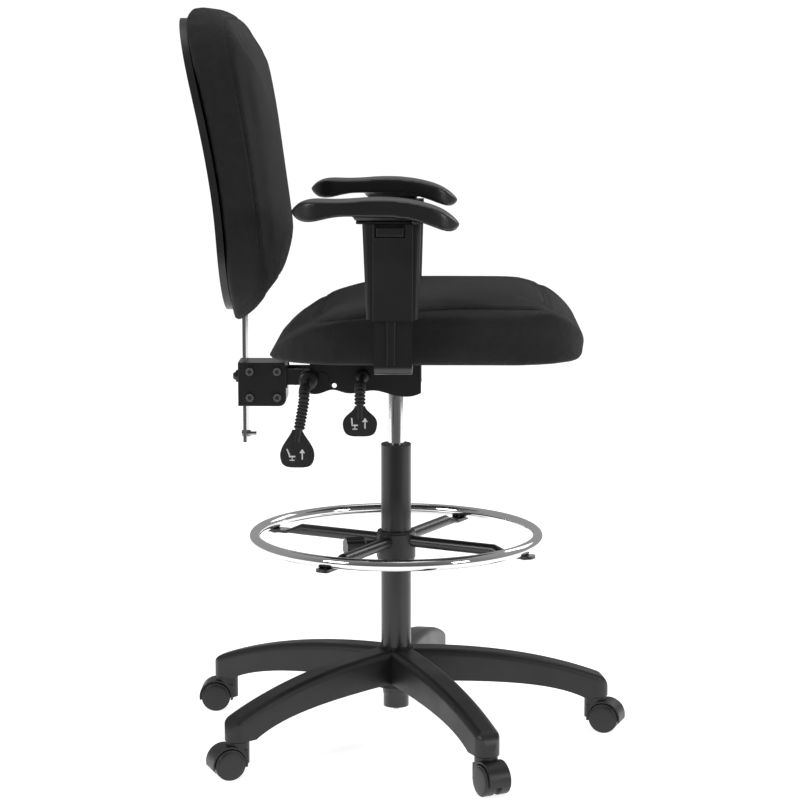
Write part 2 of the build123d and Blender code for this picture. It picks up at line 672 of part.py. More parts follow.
with BuildPart() as mechanism_cone:
    with BuildSketch(Plane.XZ):
        with BuildLine():
            Polyline(
                (LIFT_R + RUNNING, CONE_BOTTOM_Z),
                (CONE_R - 4, CONE_BOTTOM_Z),
                (CONE_R, CONE_BOTTOM_Z + 6),
                (CONE_R, LIFT_TOP_Z - 2),
                (LIFT_END_R + RUNNING, LIFT_TOP_Z - 2),
                close=True,
            )
        make_face()
    revolve(axis=Axis.Z)
    for side in (-1, 1):
        with Locations((0, side * (CONE_R - 2 + MECH_HALF_W - MECH_T) / 2, MECH_BOTTOM_Z + 22)):
            Box(30, MECH_HALF_W - MECH_T - CONE_R + 2, 4)
finish(mechanism_cone.part, "mechanism_cone")

with BuildPart() as seat_bolts:
    plate_heads = [(x, s * plate_bolt_y) for x, s in plate_bolts]
    for spots, seat_z in ((plate_heads, plate_z), (arm_bolts, BRACKET_BAR_Z)):
        with BuildSketch(Plane.XY.offset(seat_z)):
            with Locations(*spots):
                RegularPolygon(BOLT_HEAD_R, 6)
        extrude(amount=-BOLT_HEAD_H)
        with BuildSketch(Plane.XY.offset(seat_z)):
            with Locations(*spots):
                Circle(BOLT_R)
        extrude(amount=PAN_Z + PAN_T - seat_z)
finish(seat_bolts.part, "seat_bolts")

with BuildPart() as recline_pin:
    with BuildSketch(Plane.XZ):
        with Locations((PIVOT_X, PIVOT_Z)):
            Circle(PIVOT_R - RUNNING)
    extrude(amount=MECH_HALF_W + 1, both=True)
    for side in (-1, 1):
        with BuildSketch(Plane.XZ.offset(side * (MECH_HALF_W + 0.01))):
            with Locations((PIVOT_X, PIVOT_Z)):
                Circle(PIVOT_R + 3)
        extrude(amount=side * 2.5)
finish(recline_pin.part, "recline_pin")

# ============================= levers =============================
def hand_lever(name, x, z, lean, boot_top_z, paddle_top_z, paddle_bottom_z, inner_y):
    """A bent rod out of the mechanism, a ribbed boot and a flat paddle that hangs below it."""
    foot_x = x + lean
    with BuildPart() as rod:
        with BuildLine():
            path = FilletPolyline(
                (x, inner_y, z),
                (x, LEVER_OUT_Y, z),
                (foot_x, LEVER_OUT_Y, paddle_top_z - 18),
                radius=LEVER_BEND_R,
            )
        with BuildSketch(Plane.XZ.offset(-inner_y)):
            with Locations((x, z)):
                Circle(LEVER_ROD_R)
        sweep(path=path)
    finish(rod.part, f"{name}_rod")

    boot_h = boot_top_z - paddle_top_z
    rod_axis = Plane(origin=(foot_x, LEVER_OUT_Y, paddle_top_z - 18), z_dir=(-lean, 0, z - paddle_top_z + 18))
    boot_plane = rod_axis.offset(18.2)
    with BuildPart() as boot:
        with BuildSketch(boot_plane):
            Circle(BOOT_CORE_R)
        extrude(amount=boot_h)
        ribs = max(3, int(boot_h // 7))
        for k in range(ribs):
            with BuildSketch(boot_plane.offset((k + 0.25) * boot_h / ribs)):
                Circle(BOOT_R)
            extrude(amount=boot_h / ribs / 2)
        with BuildSketch(boot_plane.offset(-5)):
            Circle(LEVER_ROD_R + RUNNING)
        extrude(amount=boot_h + 30, mode=Mode.SUBTRACT)
    finish(boot.part, f"{name}_boot")

    half_w = 27.0
    low_z = paddle_bottom_z
    with BuildPart() as paddle:
        with BuildSketch(Plane.XZ.offset(-LEVER_OUT_Y - PADDLE_T / 2)):
            with BuildLine():
                right = Bezier((foot_x + 8, paddle_top_z - 2), (foot_x + 11, paddle_top_z - 14),
                               (foot_x + half_w + 2, low_z + 34), (foot_x + half_w, low_z + 17))
                left = Bezier((foot_x - 8, paddle_top_z - 2), (foot_x - 11, paddle_top_z - 14),
                              (foot_x - half_w - 2, low_z + 34), (foot_x - half_w, low_z + 17))
                Bezier(right @ 1, (foot_x + half_w - 2, low_z), (foot_x + 16, low_z), (foot_x, low_z))
                Bezier(left @ 1, (foot_x - half_w + 2, low_z), (foot_x - 16, low_z), (foot_x, low_z))
                Line(left @ 0, right @ 0)
            make_face()
        extrude(amount=PADDLE_T)
        faces_out = paddle.faces().filter_by(Axis.Y)
        chamfer(faces_out.edges().filter_by(lambda e: e.center().Z < paddle_top_z - 1), 1.0)
        with BuildSketch(rod_axis.offset(-3)):
            Circle(LEVER_ROD_R + 1.8)
        extrude(amount=20.8)
        with BuildSketch(rod_axis.offset(-0.2)):
            Circle(LEVER_ROD_R + RUNNING)
        extrude(amount=40, mode=Mode.SUBTRACT)
    finish(paddle.part, f"{name}_paddle")


lever_inner_y = -MECH_HALF_W - 5.0
hand_lever("back_lever", -141.0, 616.0, -11.0, 597.0, 556.0, 494.0, lever_inner_y)
hand_lever("height_lever", -53.0, 622.0, 0.0, 605.0, 594.0, 544.0, lever_inner_y)

# ===================== back bracket and clamp =====================
block_mid_z = (BLOCK_BOTTOM_Z + BLOCK_TOP_Z) / 2
screw_spots = [(x, z) for x in (BLOCK_FRONT_X - 14.5, BLOCK_REAR_X + 19.5)
               for z in (block_mid_z - 21.5, block_mid_z + 21.5)]

with BuildPart() as back_clamp_block:
    with BuildSketch(Plane.XZ):
        with BuildLine():
            FilletPolyline(
                (BLOCK_REAR_X, BLOCK_BOTTOM_Z),
                (BLOCK_FRONT_X, BLOCK_BOTTOM_Z),
                (BLOCK_FRONT_X, BLOCK_TOP_Z),
                (BLOCK_REAR_X, BLOCK_TOP_Z),
                radius=(12, 7),
            )
            Line((BLOCK_REAR_X, BLOCK_TOP_Z), (BLOCK_REAR_X, BLOCK_BOTTOM_Z))
        make_face()
    extrude(amount=BLOCK_HALF_W, both=True)
    sides = back_clamp_block.faces().filter_by(Axis.Y)
    chamfer(sides.edges(), 0.8)
    with Locations((BAR_X + BAR_T / 2, 0, block_mid_z)):
        Box(BAR_T + 2 * SLIDING, 2 * (BAR_HALF_W + SLIDING), 200, mode=Mode.SUBTRACT)
    for side in (-1, 1):
        with Locations((BLOCK_FRONT_X, side * (BRACKET_HALF_GAP + BRACKET_T / 2), PIVOT_Z - 4)):
            Box(62, BRACKET_T + 0.02, 36, mode=Mode.SUBTRACT)
        with BuildSketch(Plane.XZ.offset(side * (BLOCK_HALF_W + 1))):
            with Locations(*screw_spots):
                Circle(BLOCK_SCREW_R + RUNNING)
        extrude(amount=-side * 9, mode=Mode.SUBTRACT)
    with BuildSketch(Plane.YZ.offset(BLOCK_REAR_X - 5)):
        with Locations((0, KNOB_Z)):
            Circle(4 + RUNNING)
    extrude(amount=BAR_X - SLIDING - BLOCK_REAR_X + 6, mode=Mode.SUBTRACT)
finish(back_clamp_block.part, "back_clamp_block")

with BuildPart() as back_clamp_screws:
    for side in (-1, 1):
        with BuildSketch(Plane.XZ.offset(side * BLOCK_HALF_W)):
            with Locations(*screw_spots):
                Circle(BLOCK_SCREW_HEAD_R)
        extrude(amount=side * 5)
        with BuildSketch(Plane.XZ.offset(side * BLOCK_HALF_W)):
            with Locations(*screw_spots):
                Circle(BLOCK_SCREW_R)
        extrude(amount=-side * 7.8)
        with BuildSketch(Plane.XZ.offset(side * (BLOCK_HALF_W + 5))):
            with Locations(*screw_spots):
                RegularPolygon(3.4, 6)
        extrude(amount=-side * 3.5, mode=Mode.SUBTRACT)
finish(back_clamp_screws.part, "back_clamp_screws")

with BuildPart() as back_bracket:
    for side in (-1, 1):
        mid_y = side * (BRACKET_HALF_GAP + BRACKET_T / 2)
        with BuildSketch(Plane.XZ.offset(-mid_y)):
            with Locations((PIVOT_X, PIVOT_Z)):
                Circle(17)
            with Locations(((PIVOT_X + BLOCK_FRONT_X - 30) / 2, PIVOT_Z - 4)):
                Rectangle(PIVOT_X - BLOCK_FRONT_X + 30, 26)
            with Locations((BLOCK_FRONT_X - 14, PIVOT_Z - 4)):
                Rectangle(32, 36)
            with Locations((PIVOT_X, PIVOT_Z)):
                Circle(PIVOT_R, mode=Mode.SUBTRACT)
            with Locations(*screw_spots):
                Circle(BLOCK_SCREW_R + RUNNING, mode=Mode.SUBTRACT)
        extrude(amount=BRACKET_T / 2, both=True)
    with Locations((BLOCK_FRONT_X + 15, 0, PIVOT_Z - 6)):
        Box(BRACKET_T, 2 * BRACKET_HALF_GAP + 1, 24)
finish(back_bracket.part, "back_bracket")

with BuildPart() as back_height_knob:
    with BuildSketch(Plane.YZ.offset(BLOCK_REAR_X - 0.4)):
        with Locations((0, KNOB_Z)):
            RegularPolygon(11, 6)
    extrude(amount=-5)
    with BuildSketch(Plane.YZ.offset(BLOCK_REAR_X - 5.4)):
        with Locations((0, KNOB_Z)):
            Circle(8)
    extrude(amount=-5, taper=35)
    with BuildSketch(Plane.YZ.offset(BLOCK_REAR_X - 1)):
        with Locations((0, KNOB_Z)):
            Circle(4)
    extrude(amount=BAR_X - BLOCK_REAR_X + 0.6)
finish(back_height_knob.part, "back_height_knob")

# ============================ backrest ============================
# The shell's rear face leans back with height. The cushion and the inner panel follow it.
def rear_line(gap):
    """The shell's rear face moved forward by gap, as points to spline through from low to high."""
    return [(-267 + gap, BACK_BOTTOM_Z + 20), (-272 + gap, 806), (-277 + gap, 880), (-288 + gap, 964),
            (-308 + gap, 1067), (-337 + gap, BACK_TOP_Z - 24)]


def back_slab(rear_gap, front_gap, width, bottom_z, top_z, corner_r):
    """A curved plate between two offsets of the shell's rear line, cut to a rounded outline."""
    with BuildPart() as side_view:
        with BuildSketch(Plane.XZ):
            with BuildLine():
                rear = Spline(*rear_line(rear_gap))
                front = Spline(*rear_line(front_gap))
                rear_low = Line((rear @ 0), (rear @ 0) - (rear % 0) * 60)
                front_low = Line((front @ 0), (front @ 0) - (front % 0) * 60)
                rear_high = Line((rear @ 1), (rear @ 1) + (rear % 1) * 60)
                front_high = Line((front @ 1), (front @ 1) + (front % 1) * 60)
                Line(rear_low @ 1, front_low @ 1)
                Line(rear_high @ 1, front_high @ 1)
            make_face()
        extrude(amount=width, both=True)
    with BuildPart() as slab:
        with BuildSketch(Plane.YZ.offset(-480)):
            with Locations((0, (bottom_z + top_z) / 2)):
                RectangleRounded(width, top_z - bottom_z, corner_r)
        extrude(amount=400)
        add(side_view.part, mode=Mode.INTERSECT)
    return slab.part


shell_top_z = BACK_TOP_Z - 24
shell_bottom_z = BACK_BOTTOM_Z + 22
shell_skin = back_slab(0, SHELL_T, BACK_WIDTH, shell_bottom_z, shell_top_z, BACK_CORNER_R)
shell_full = back_slab(0, SHELL_DEPTH - 0.4, BACK_WIDTH, shell_bottom_z, shell_top_z, BACK_CORNER_R)
shell_core = back_slab(-20, SHELL_DEPTH + 20, BACK_WIDTH - 2 * SHELL_T, shell_bottom_z + SHELL_T,
                       shell_top_z - SHELL_T, BACK_CORNER_R - SHELL_T)
with BuildPart() as back_shell:
    add(shell_full)
    add(shell_core, mode=Mode.SUBTRACT)
    add(shell_skin)
    with Locations((-266, 0, shell_bottom_z)):
        Box(30, 2 * BAR_HALF_W + 8, 20, mode=Mode.SUBTRACT)
finish(back_shell.part, "back_shell")

panel_rear = SHELL_DEPTH
panel_lean = (-277 + 272) / (880 - 806)     # how the panel leans back between the two bar bolts


def panel_front_x(z):
    """X of the panel's front face at height z, near the bar bolts."""
    return -272 + panel_rear + PANEL_T + panel_lean * (z - 806)


with BuildPart() as back_panel:
    add(back_slab(panel_rear, panel_rear + PANEL_T, BACK_WIDTH - 2 * PANEL_INSET, shell_bottom_z + PANEL_LIFT,
                  shell_top_z - PANEL_INSET, BACK_CORNER_R - PANEL_INSET))
    for bolt_z in PANEL_BOLT_ZS:
        with BuildSketch(Plane.YZ.offset(BAR_X - 60)):
            with Locations((0, bolt_z)):
                Circle(BAR_BOLT_R + RUNNING)
        extrude(amount=80, mode=Mode.SUBTRACT)
        with BuildSketch(Plane.YZ.offset(panel_front_x(bolt_z) - 3.5)):
            with Locations((0, bolt_z)):
                Circle(BAR_BOLT_R + 2.8)
        extrude(amount=20, mode=Mode.SUBTRACT)
finish(back_panel.part, "back_panel")

back_mid_z = (BACK_BOTTOM_Z + BACK_TOP_Z) / 2
back_lean = math.radians(7.7)
back_up = (-math.sin(back_lean), 0, math.cos(back_lean))
front_plane = Plane(origin=(-177, 0, 863), x_dir=(0, 1, 0), z_dir=back_up)
with BuildPart() as back_crown:
    with BuildSketch(front_plane):
        with BuildLine():
            bow = ThreePointArc((-BACK_WIDTH / 2 - 1, BACK_CROWN), (0, 0), (BACK_WIDTH / 2 + 1, BACK_CROWN))
            Polyline(bow @ 1, (BACK_WIDTH / 2 + 1, 250), (-BACK_WIDTH / 2 - 1, 250), bow @ 0)
        make_face()
    extrude(amount=BACK_TOP_Z - BACK_BOTTOM_Z, both=True)

with BuildPart() as back_profile:
    with BuildSketch(Plane.XZ):
        with BuildLine():
            rear = Spline(*rear_line(SHELL_DEPTH))
            Spline(
                rear @ 0,
                (-249, BACK_BOTTOM_Z),
                (-217, BACK_BOTTOM_Z + 20),
                (-190, BACK_BOTTOM_Z + 76),
                (-180, BACK_BOTTOM_Z + 150),
                (-184, BACK_BOTTOM_Z + 230),
                (-209, BACK_TOP_Z - 155),
                (-240, BACK_TOP_Z - 49),
                (-258, BACK_TOP_Z - 18),
                (-290, BACK_TOP_Z),
                rear @ 1,
            )
        make_face()
    extrude(amount=BACK_WIDTH, both=True)

with BuildPart() as back_cushion:
    with BuildSketch(Plane.YZ.offset(-480)):
        with Locations((0, back_mid_z)):
            RectangleRounded(BACK_WIDTH, BACK_TOP_Z - BACK_BOTTOM_Z + 2, BACK_CORNER_R)
    extrude(amount=400)
    add(back_profile.part, mode=Mode.INTERSECT)
    add(back_crown.part, mode=Mode.INTERSECT)
    add(back_slab(SHELL_DEPTH - 30, SHELL_DEPTH + PANEL_T + 0.01, BACK_WIDTH - 2 * PANEL_INSET + 1,
                  shell_bottom_z + PANEL_LIFT - 0.5, shell_top_z - PANEL_INSET + 0.5,
                  BACK_CORNER_R - PANEL_INSET), mode=Mode.SUBTRACT)
    with Locations((-262, 0, BACK_BOTTOM_Z + 25)):
        Box(46, 2 * BAR_HALF_W + 4, 90, mode=Mode.SUBTRACT)
finish(back_cushion.part, "back_cushion")



def bar_rear_x(z):
    """X of the bar's rear face at height z, where it runs up behind the panel."""
    return panel_front_x(z) - PANEL_T - BAR_CLEAR - BAR_T


bar_line = [(BAR_X, BAR_BOTTOM_Z), (BAR_X, BACK_BOTTOM_Z + 4), (bar_rear_x(776), 776),
            (bar_rear_x(BAR_TOP_Z), BAR_TOP_Z)]
with BuildPart() as back_bar:
    with BuildSketch(Plane.XZ):
        with BuildLine():
            rear_edge = FilletPolyline(*bar_line, radius=60)
            offset(rear_edge, amount=BAR_T, side=Side.RIGHT, closed=True)
        make_face()
    extrude(amount=BAR_HALF_W, both=True)
    with BuildSketch(Plane.YZ.offset(BAR_X - 60)):
        with Locations((0, STOP_Z), *[(0, z) for z in PANEL_BOLT_ZS]):
            Circle(BAR_BOLT_R + RUNNING)
        with Locations((0, 608)):
            SlotCenterToCenter(BAR_HALF_W, 8.4, rotation=90)
    extrude(amount=120, mode=Mode.SUBTRACT)
finish(back_bar.part, "back_bar")

with BuildPart() as back_bar_bolts:
    with BuildSketch(Plane.YZ.offset(BAR_X)):
        with Locations((0, STOP_Z)):
            RegularPolygon(5.8, 6)
    extrude(amount=-4.5)
    with BuildSketch(Plane.YZ.offset(BAR_X)):
        with Locations((0, STOP_Z)):
            Circle(BAR_BOLT_R)
    extrude(amount=20)
    with BuildSketch(Plane.YZ.offset(BAR_X + BAR_T)):
        with Locations((0, STOP_Z)):
            RegularPolygon(5.8, 6)
    extrude(amount=5)
    for bolt_z in PANEL_BOLT_ZS:
        bolt_front = panel_front_x(bolt_z) - 0.4
        with BuildSketch(Plane.YZ.offset(bolt_front - 3)):
            with Locations((0, bolt_z)):
                Circle(BAR_BOLT_R + 2.5)
        extrude(amount=3)
        with BuildSketch(Plane.YZ.offset(bolt_front - 3)):
            with Locations((0, bolt_z)):
                Circle(BAR_BOLT_R)
        extrude(amount=-12)
finish(back_bar_bolts.part, "back_bar_bolts")

# ============================== arms ==============================
# The arm on the -Y side is modelled, and the other one is its mirror image.
bar_top_z = BRACKET_BAR_Z + BRACKET_BAR_T
post_out_y = -(POST_Y + BRACKET_BAR_T / 2)

with BuildPart() as arm_bracket:
    with BuildSketch(Plane.YZ.offset(POST_X - POST_W / 2)):
        with BuildLine():
            FilletPolyline((-BRACKET_INNER_Y, BRACKET_BAR_Z), (post_out_y, BRACKET_BAR_Z),
                           (post_out_y, POST_TOP_Z), radius=BEND_R + BRACKET_BAR_T)
            Line((post_out_y, POST_TOP_Z), (post_out_y + BRACKET_BAR_T, POST_TOP_Z))
            FilletPolyline((post_out_y + BRACKET_BAR_T, POST_TOP_Z), (post_out_y + BRACKET_BAR_T, bar_top_z),
                           (-BRACKET_INNER_Y, bar_top_z), radius=BEND_R)
            Line((-BRACKET_INNER_Y, bar_top_z), (-BRACKET_INNER_Y, BRACKET_BAR_Z))
        make_face()
    extrude(amount=POST_W)
    rib_bottom_z = bar_top_z + BEND_R + 2
    with Locations((POST_X - 3, post_out_y - RIB_PROUD / 2, (rib_bottom_z + RIB_TOP_Z) / 2)):
        Box(RIB_W, RIB_PROUD, RIB_TOP_Z - rib_bottom_z)
    rib_face_y = post_out_y - RIB_PROUD
    rib_edges = arm_bracket.edges().filter_by(Axis.Z).filter_by(lambda e: e.center().Y < rib_face_y + 0.1)
    fillet(rib_edges, 2.5)
    with BuildSketch(Plane.XY.offset(BRACKET_BAR_Z - 5)):
        for bolt_y in arm_bolt_ys:
            with Locations((POST_X, -bolt_y + ARM_SPREAD / 2)):
                SlotCenterToCenter(ARM_SPREAD, 2 * (BOLT_R + SLIDING), rotation=90)
    extrude(amount=20, mode=Mode.SUBTRACT)
    with BuildSketch(Plane.XZ.offset(POST_Y - 20)):
        with Locations(*[(POST_X + 17, 745 + 10 * k) for k in range(6)]):
            SlotCenterToCenter(8, 4)
    extrude(amount=30, mode=Mode.SUBTRACT)

sleeve_mid_y = -(SLEEVE_OUT_Y + SLEEVE_IN_Y) / 2
sleeve_t = SLEEVE_OUT_Y - SLEEVE_IN_Y
post_slot_h = SLEEVE_TOP_Z - SLEEVE_BOTTOM_Z - 5
with BuildPart() as arm_sleeve:
    with BuildSketch(Plane.XZ.offset(SLEEVE_IN_Y)):
        with BuildLine():
            Polyline(
                (-SLEEVE_W_BOTTOM / 2, SLEEVE_BOTTOM_Z),
                (SLEEVE_W_BOTTOM / 2, SLEEVE_BOTTOM_Z),
                (SLEEVE_W_TOP / 2 - 1, SLEEVE_TOP_Z),
                (-SLEEVE_W_TOP / 2 - 1, SLEEVE_TOP_Z),
                close=True,
            )
        make_face()
    extrude(amount=sleeve_t - 3)
    uprights = arm_sleeve.edges().filter_by(lambda e: e.length > 100)
    fillet(uprights, 7)
    with BuildSketch(Plane.XZ.offset(SLEEVE_OUT_Y - 8)):
        with Locations((POST_X, (SLEEVE_BOTTOM_Z + SLEEVE_TOP_Z) / 2 - 1)):
            Rectangle(POST_W + 4, SLEEVE_TOP_Z - SLEEVE_BOTTOM_Z + 2)
    extrude(amount=8)
    face_edges = arm_sleeve.edges().filter_by(Axis.Z).filter_by(lambda e: e.center().Y < -SLEEVE_OUT_Y + 0.1)
    fillet(face_edges, 2)
    with Locations((POST_X, -POST_Y, SLEEVE_BOTTOM_Z)):
        Box(POST_W + 2 * SLIDING, BRACKET_BAR_T + 2 * SLIDING, 2 * post_slot_h, mode=Mode.SUBTRACT)
    with Locations((POST_X - 3, -POST_Y - RIB_PROUD / 2, SLEEVE_BOTTOM_Z)):
        Box(RIB_W + 2 * SLIDING, BRACKET_BAR_T + RIB_PROUD + 2 * SLIDING, 2 * post_slot_h, mode=Mode.SUBTRACT)
    with Locations((LATCH_X, -SLEEVE_OUT_Y, LATCH_Z + 4)):
        Box(LATCH_W + 4, 2 * (LATCH_TRAVEL + 5), LATCH_H + 12, mode=Mode.SUBTRACT)
    with Locations((LATCH_X, sleeve_mid_y, LATCH_Z)):
        Box(16.6, sleeve_t - 6, 6.6, mode=Mode.SUBTRACT)

with BuildPart() as arm_latch:
    with Locations((LATCH_X, -SLEEVE_OUT_Y + 1.2, LATCH_Z)):
        Box(LATCH_W, 6, LATCH_H)
    fillet(arm_latch.edges().filter_by(lambda e: e.center().Y < -SLEEVE_OUT_Y - 1.7), 1.5)
    with Locations((LATCH_X, -SLEEVE_OUT_Y + 4.2 + 6, LATCH_Z)):
        Box(16, 12, 6)

with BuildPart() as arm_pad_plate:
    with BuildSketch(Plane.XY.offset(SLEEVE_TOP_Z)):
        with Locations((-12, -ARM_Y)):
            RectangleRounded(86, 44, 6)
    extrude(amount=PLATE_T)
    chamfer(arm_pad_plate.faces().filter_by(Axis.Z).edges(), 0.6)

pad_rear_x = PAD_X - PAD_LENGTH / 2
pad_front_x = PAD_X + PAD_LENGTH / 2
with BuildPart() as pad_side:
    with BuildSketch(Plane.XZ):
        with BuildLine():
            over = Spline(
                (pad_rear_x, PAD_TOP_Z - 20),
                (pad_rear_x + 12, PAD_TOP_Z - 8),
                (pad_rear_x + 60, PAD_TOP_Z - 3),
                (pad_rear_x + 124, PAD_TOP_Z),
                (pad_rear_x + 195, PAD_TOP_Z - 6),
                (pad_front_x - 25, PAD_TOP_Z - 19),
                (pad_front_x, PAD_TOP_Z - 39),
            )
            Spline(
                over @ 1,
                (pad_front_x - 8, PAD_TOP_Z - 47),
                (pad_front_x - 38, PAD_TOP_Z - 42),
                (pad_front_x - 86, PAD_TOP_Z - 28),
                (pad_rear_x + 118, PAD_TOP_Z - 26),
                (pad_rear_x + 60, PAD_TOP_Z - 28),
                (pad_rear_x + 16, PAD_TOP_Z - 33),
                over @ 0,
            )
        make_face()
    extrude(amount=400, both=True)

with BuildPart() as arm_pad:
    with BuildSketch(Plane.XY.offset(PAD_TOP_Z - 80)):
        with Locations((PAD_X, -ARM_Y)):
            RectangleRounded(PAD_LENGTH, PAD_WIDTH, PAD_WIDTH / 2 - 1)
    extrude(amount=120)
    add(pad_side.part, mode=Mode.INTERSECT)
    with BuildSketch(Plane.XY.offset(SLEEVE_TOP_Z + PLATE_T)):
        with Locations((-12, -ARM_Y)):
            RectangleRounded(92, 50, 8)
    extrude(amount=14)

arm_pieces = ((arm_bracket, "arm_bracket"), (arm_sleeve, "arm_sleeve"), (arm_latch, "arm_latch"),
              (arm_pad_plate, "arm_pad_plate"), (arm_pad, "arm_pad"))
for side_name, side_plane in (("right", None), ("left", Plane.XZ)):
    for piece, piece_name in arm_pieces:
        solid = piece.part if side_plane is None else mirror(piece.part, about=side_plane)
        finish(solid, f"{piece_name}_{side_name}")
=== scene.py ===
import json
import math

import bmesh
import bpy
import numpy as np
from bpy.props import FloatProperty, FloatVectorProperty, PointerProperty
from mathutils import Matrix, Vector


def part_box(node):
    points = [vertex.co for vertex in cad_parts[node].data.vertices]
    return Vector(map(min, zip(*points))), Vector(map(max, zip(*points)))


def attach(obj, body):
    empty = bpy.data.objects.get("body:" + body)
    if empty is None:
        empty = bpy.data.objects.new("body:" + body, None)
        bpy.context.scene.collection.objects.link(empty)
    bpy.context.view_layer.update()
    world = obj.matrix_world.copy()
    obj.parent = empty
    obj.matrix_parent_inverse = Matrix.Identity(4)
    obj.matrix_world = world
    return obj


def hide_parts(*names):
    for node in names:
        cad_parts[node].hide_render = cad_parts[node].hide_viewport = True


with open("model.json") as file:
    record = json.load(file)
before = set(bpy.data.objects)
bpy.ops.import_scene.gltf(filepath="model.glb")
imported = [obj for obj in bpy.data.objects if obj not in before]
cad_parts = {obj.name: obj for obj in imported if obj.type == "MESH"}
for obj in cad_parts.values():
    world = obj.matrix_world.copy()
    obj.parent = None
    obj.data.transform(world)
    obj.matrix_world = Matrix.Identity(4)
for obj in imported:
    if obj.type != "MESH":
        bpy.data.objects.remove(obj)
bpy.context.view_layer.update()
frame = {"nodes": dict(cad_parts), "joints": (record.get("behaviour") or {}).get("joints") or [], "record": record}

bl_info = {
    "name": "Drafting Chair Finisher",
    "version": (1, 0, 0),
    "blender": (4, 5, 0),
    "location": "View3D > Sidebar > Drafting Chair",
    "description": "Upholstery, arm pads, lever boots, prints, finishes and studio for a drafting chair",
    "category": "Object",
}

MM = 0.001
CLOTH_STEPS = 20
SEAT_SEAM_RISE = 0.0875    # from the seat's underside up to the highest point of its seam
SEAT_SEAM_FALL = 0.30      # how fast the seam drops away from that point
SEAT_SEAM_PEAK_X = 0.150
REAR_LEAN = 0.046          # the back's rear face, as a curve of the height above its foot
REAR_BEND = 0.195
BACK_BOXING = 0.068        # from the rear face forward to the back's seam


# ------------------------------------------------------------------ settings
class ChairFabric(bpy.types.PropertyGroup):
    """The woven cover of the seat and back."""
    colour: FloatVectorProperty(name="Yarn colour", description="Base colour of the woven cover",
                                subtype="COLOR", default=(0.0130, 0.0130, 0.0134), min=0, max=1)
    pitch: FloatProperty(name="Thread pitch", description="Distance from one thread to the next",
                         unit="LENGTH", default=0.0021, min=0.0005, max=0.01)
    pressure: FloatProperty(name="Foam pressure", description="How hard the foam pushes the cover out",
                            default=6.0, min=0, max=20)
    cap: FloatProperty(name="Most swell", description="The furthest that a point of the cover may move",
                       unit="LENGTH", default=0.007, min=0, max=0.03)
    shrink: FloatProperty(name="Start inside", description="How far inside its foam block the cover starts",
                          unit="LENGTH", default=0.003, min=0, max=0.02)
    creases: FloatProperty(name="Creases", description="Share of the small creases that the cover keeps",
                           default=0.18, min=0, max=1)
    voxel: FloatProperty(name="Cover mesh size", description="Size of a cell of the cover's mesh",
                         unit="LENGTH", default=0.0055, min=0.003, max=0.02)
    seam_radius: FloatProperty(name="Seam radius", description="Radius of the raised seam line",
                               unit="LENGTH", default=0.0011, min=0.0004, max=0.005)


class ChairTrim(bpy.types.PropertyGroup):
    """Colours and sizes of the moulded, coated and printed trim."""
    nylon: FloatVectorProperty(name="Nylon", description="Base and caster moulding colour",
                               subtype="COLOR", default=(0.0092, 0.0092, 0.0096), min=0, max=1)
    moulding: FloatVectorProperty(name="Moulding",
                                  description="Colour of sleeves, paddles, knobs and the rear shell",
                                  subtype="COLOR", default=(0.014, 0.014, 0.0145), min=0, max=1)
    coat: FloatVectorProperty(name="Powder coat", description="Colour of the coated steel",
                              subtype="COLOR", default=(0.011, 0.011, 0.0113), min=0, max=1)
    print_ink: FloatVectorProperty(name="Print ink", description="Colour of the pictograms on the paddles",
                                   subtype="COLOR", default=(0.62, 0.64, 0.63), min=0, max=1)
    boot_pitch: FloatProperty(name="Boot pitch",
                              description="Distance from one rib of a lever boot to the next",
                              unit="LENGTH", default=0.0056, min=0.002, max=0.02)


class ChairStudio(bpy.types.PropertyGroup):
    """Floor, lamps and camera."""
    distance: FloatProperty(name="Camera distance", description="From the column to the camera's plane",
                            unit="LENGTH", default=3.9708, min=1, max=20)
    height: FloatProperty(name="Camera height", description="Height of the camera above the floor",
                          unit="LENGTH", default=1.1639, min=0, max=5)
    aside: FloatProperty(name="Camera offset", description="How far the camera stands towards the seat front",
                         unit="LENGTH", default=0.0768, min=-2, max=2)
    pitch: FloatProperty(name="Look down", description="Angle that the camera looks down by",
                         subtype="ANGLE", default=0.1479, min=-1, max=1)
    yaw: FloatProperty(name="Look aside", description="Angle that the camera turns to its left by",
                       subtype="ANGLE", default=0.0177, min=-1, max=1)
    lens: FloatProperty(name="Lens", description="Focal length in millimetres",
                        default=109.2, min=20, max=300)
    sky: FloatProperty(name="Room light", description="Brightness of the room around the chair",
                       default=0.34, min=0, max=5)
    floor_glow: FloatProperty(name="Floor glow", description="Light that the lit floor gives off",
                              default=0.80, min=0, max=5)
    power: FloatProperty(name="Lamp power", description="Strength of all lamps together",
                         default=1.0, min=0, max=10)


# ------------------------------------------------------------------ node helpers
def add_node(tree, kind, inputs=(), **props):
    """One shader node. inputs is a list of (socket name or index, value or socket)."""
    made = tree.nodes.new(kind)
    for key, value in props.items():
        setattr(made, key, value)
    for key, value in inputs:
        if isinstance(value, bpy.types.NodeSocket):
            tree.links.new(value, made.inputs[key])
        else:
            made.inputs[key].default_value = value
    return made


def maths(tree, operation, first, second=0.0):
    """The output of one Math node."""
    return add_node(tree, "ShaderNodeMath", [(0, first), (1, second)], operation=operation).outputs[0]


def noise(tree, vector, scale, detail, roughness=0.5):
    """One Noise Texture node."""
    return add_node(tree, "ShaderNodeTexNoise", [("Vector", vector), ("Scale", scale), ("Detail", detail),
                                                 ("Roughness", roughness)])


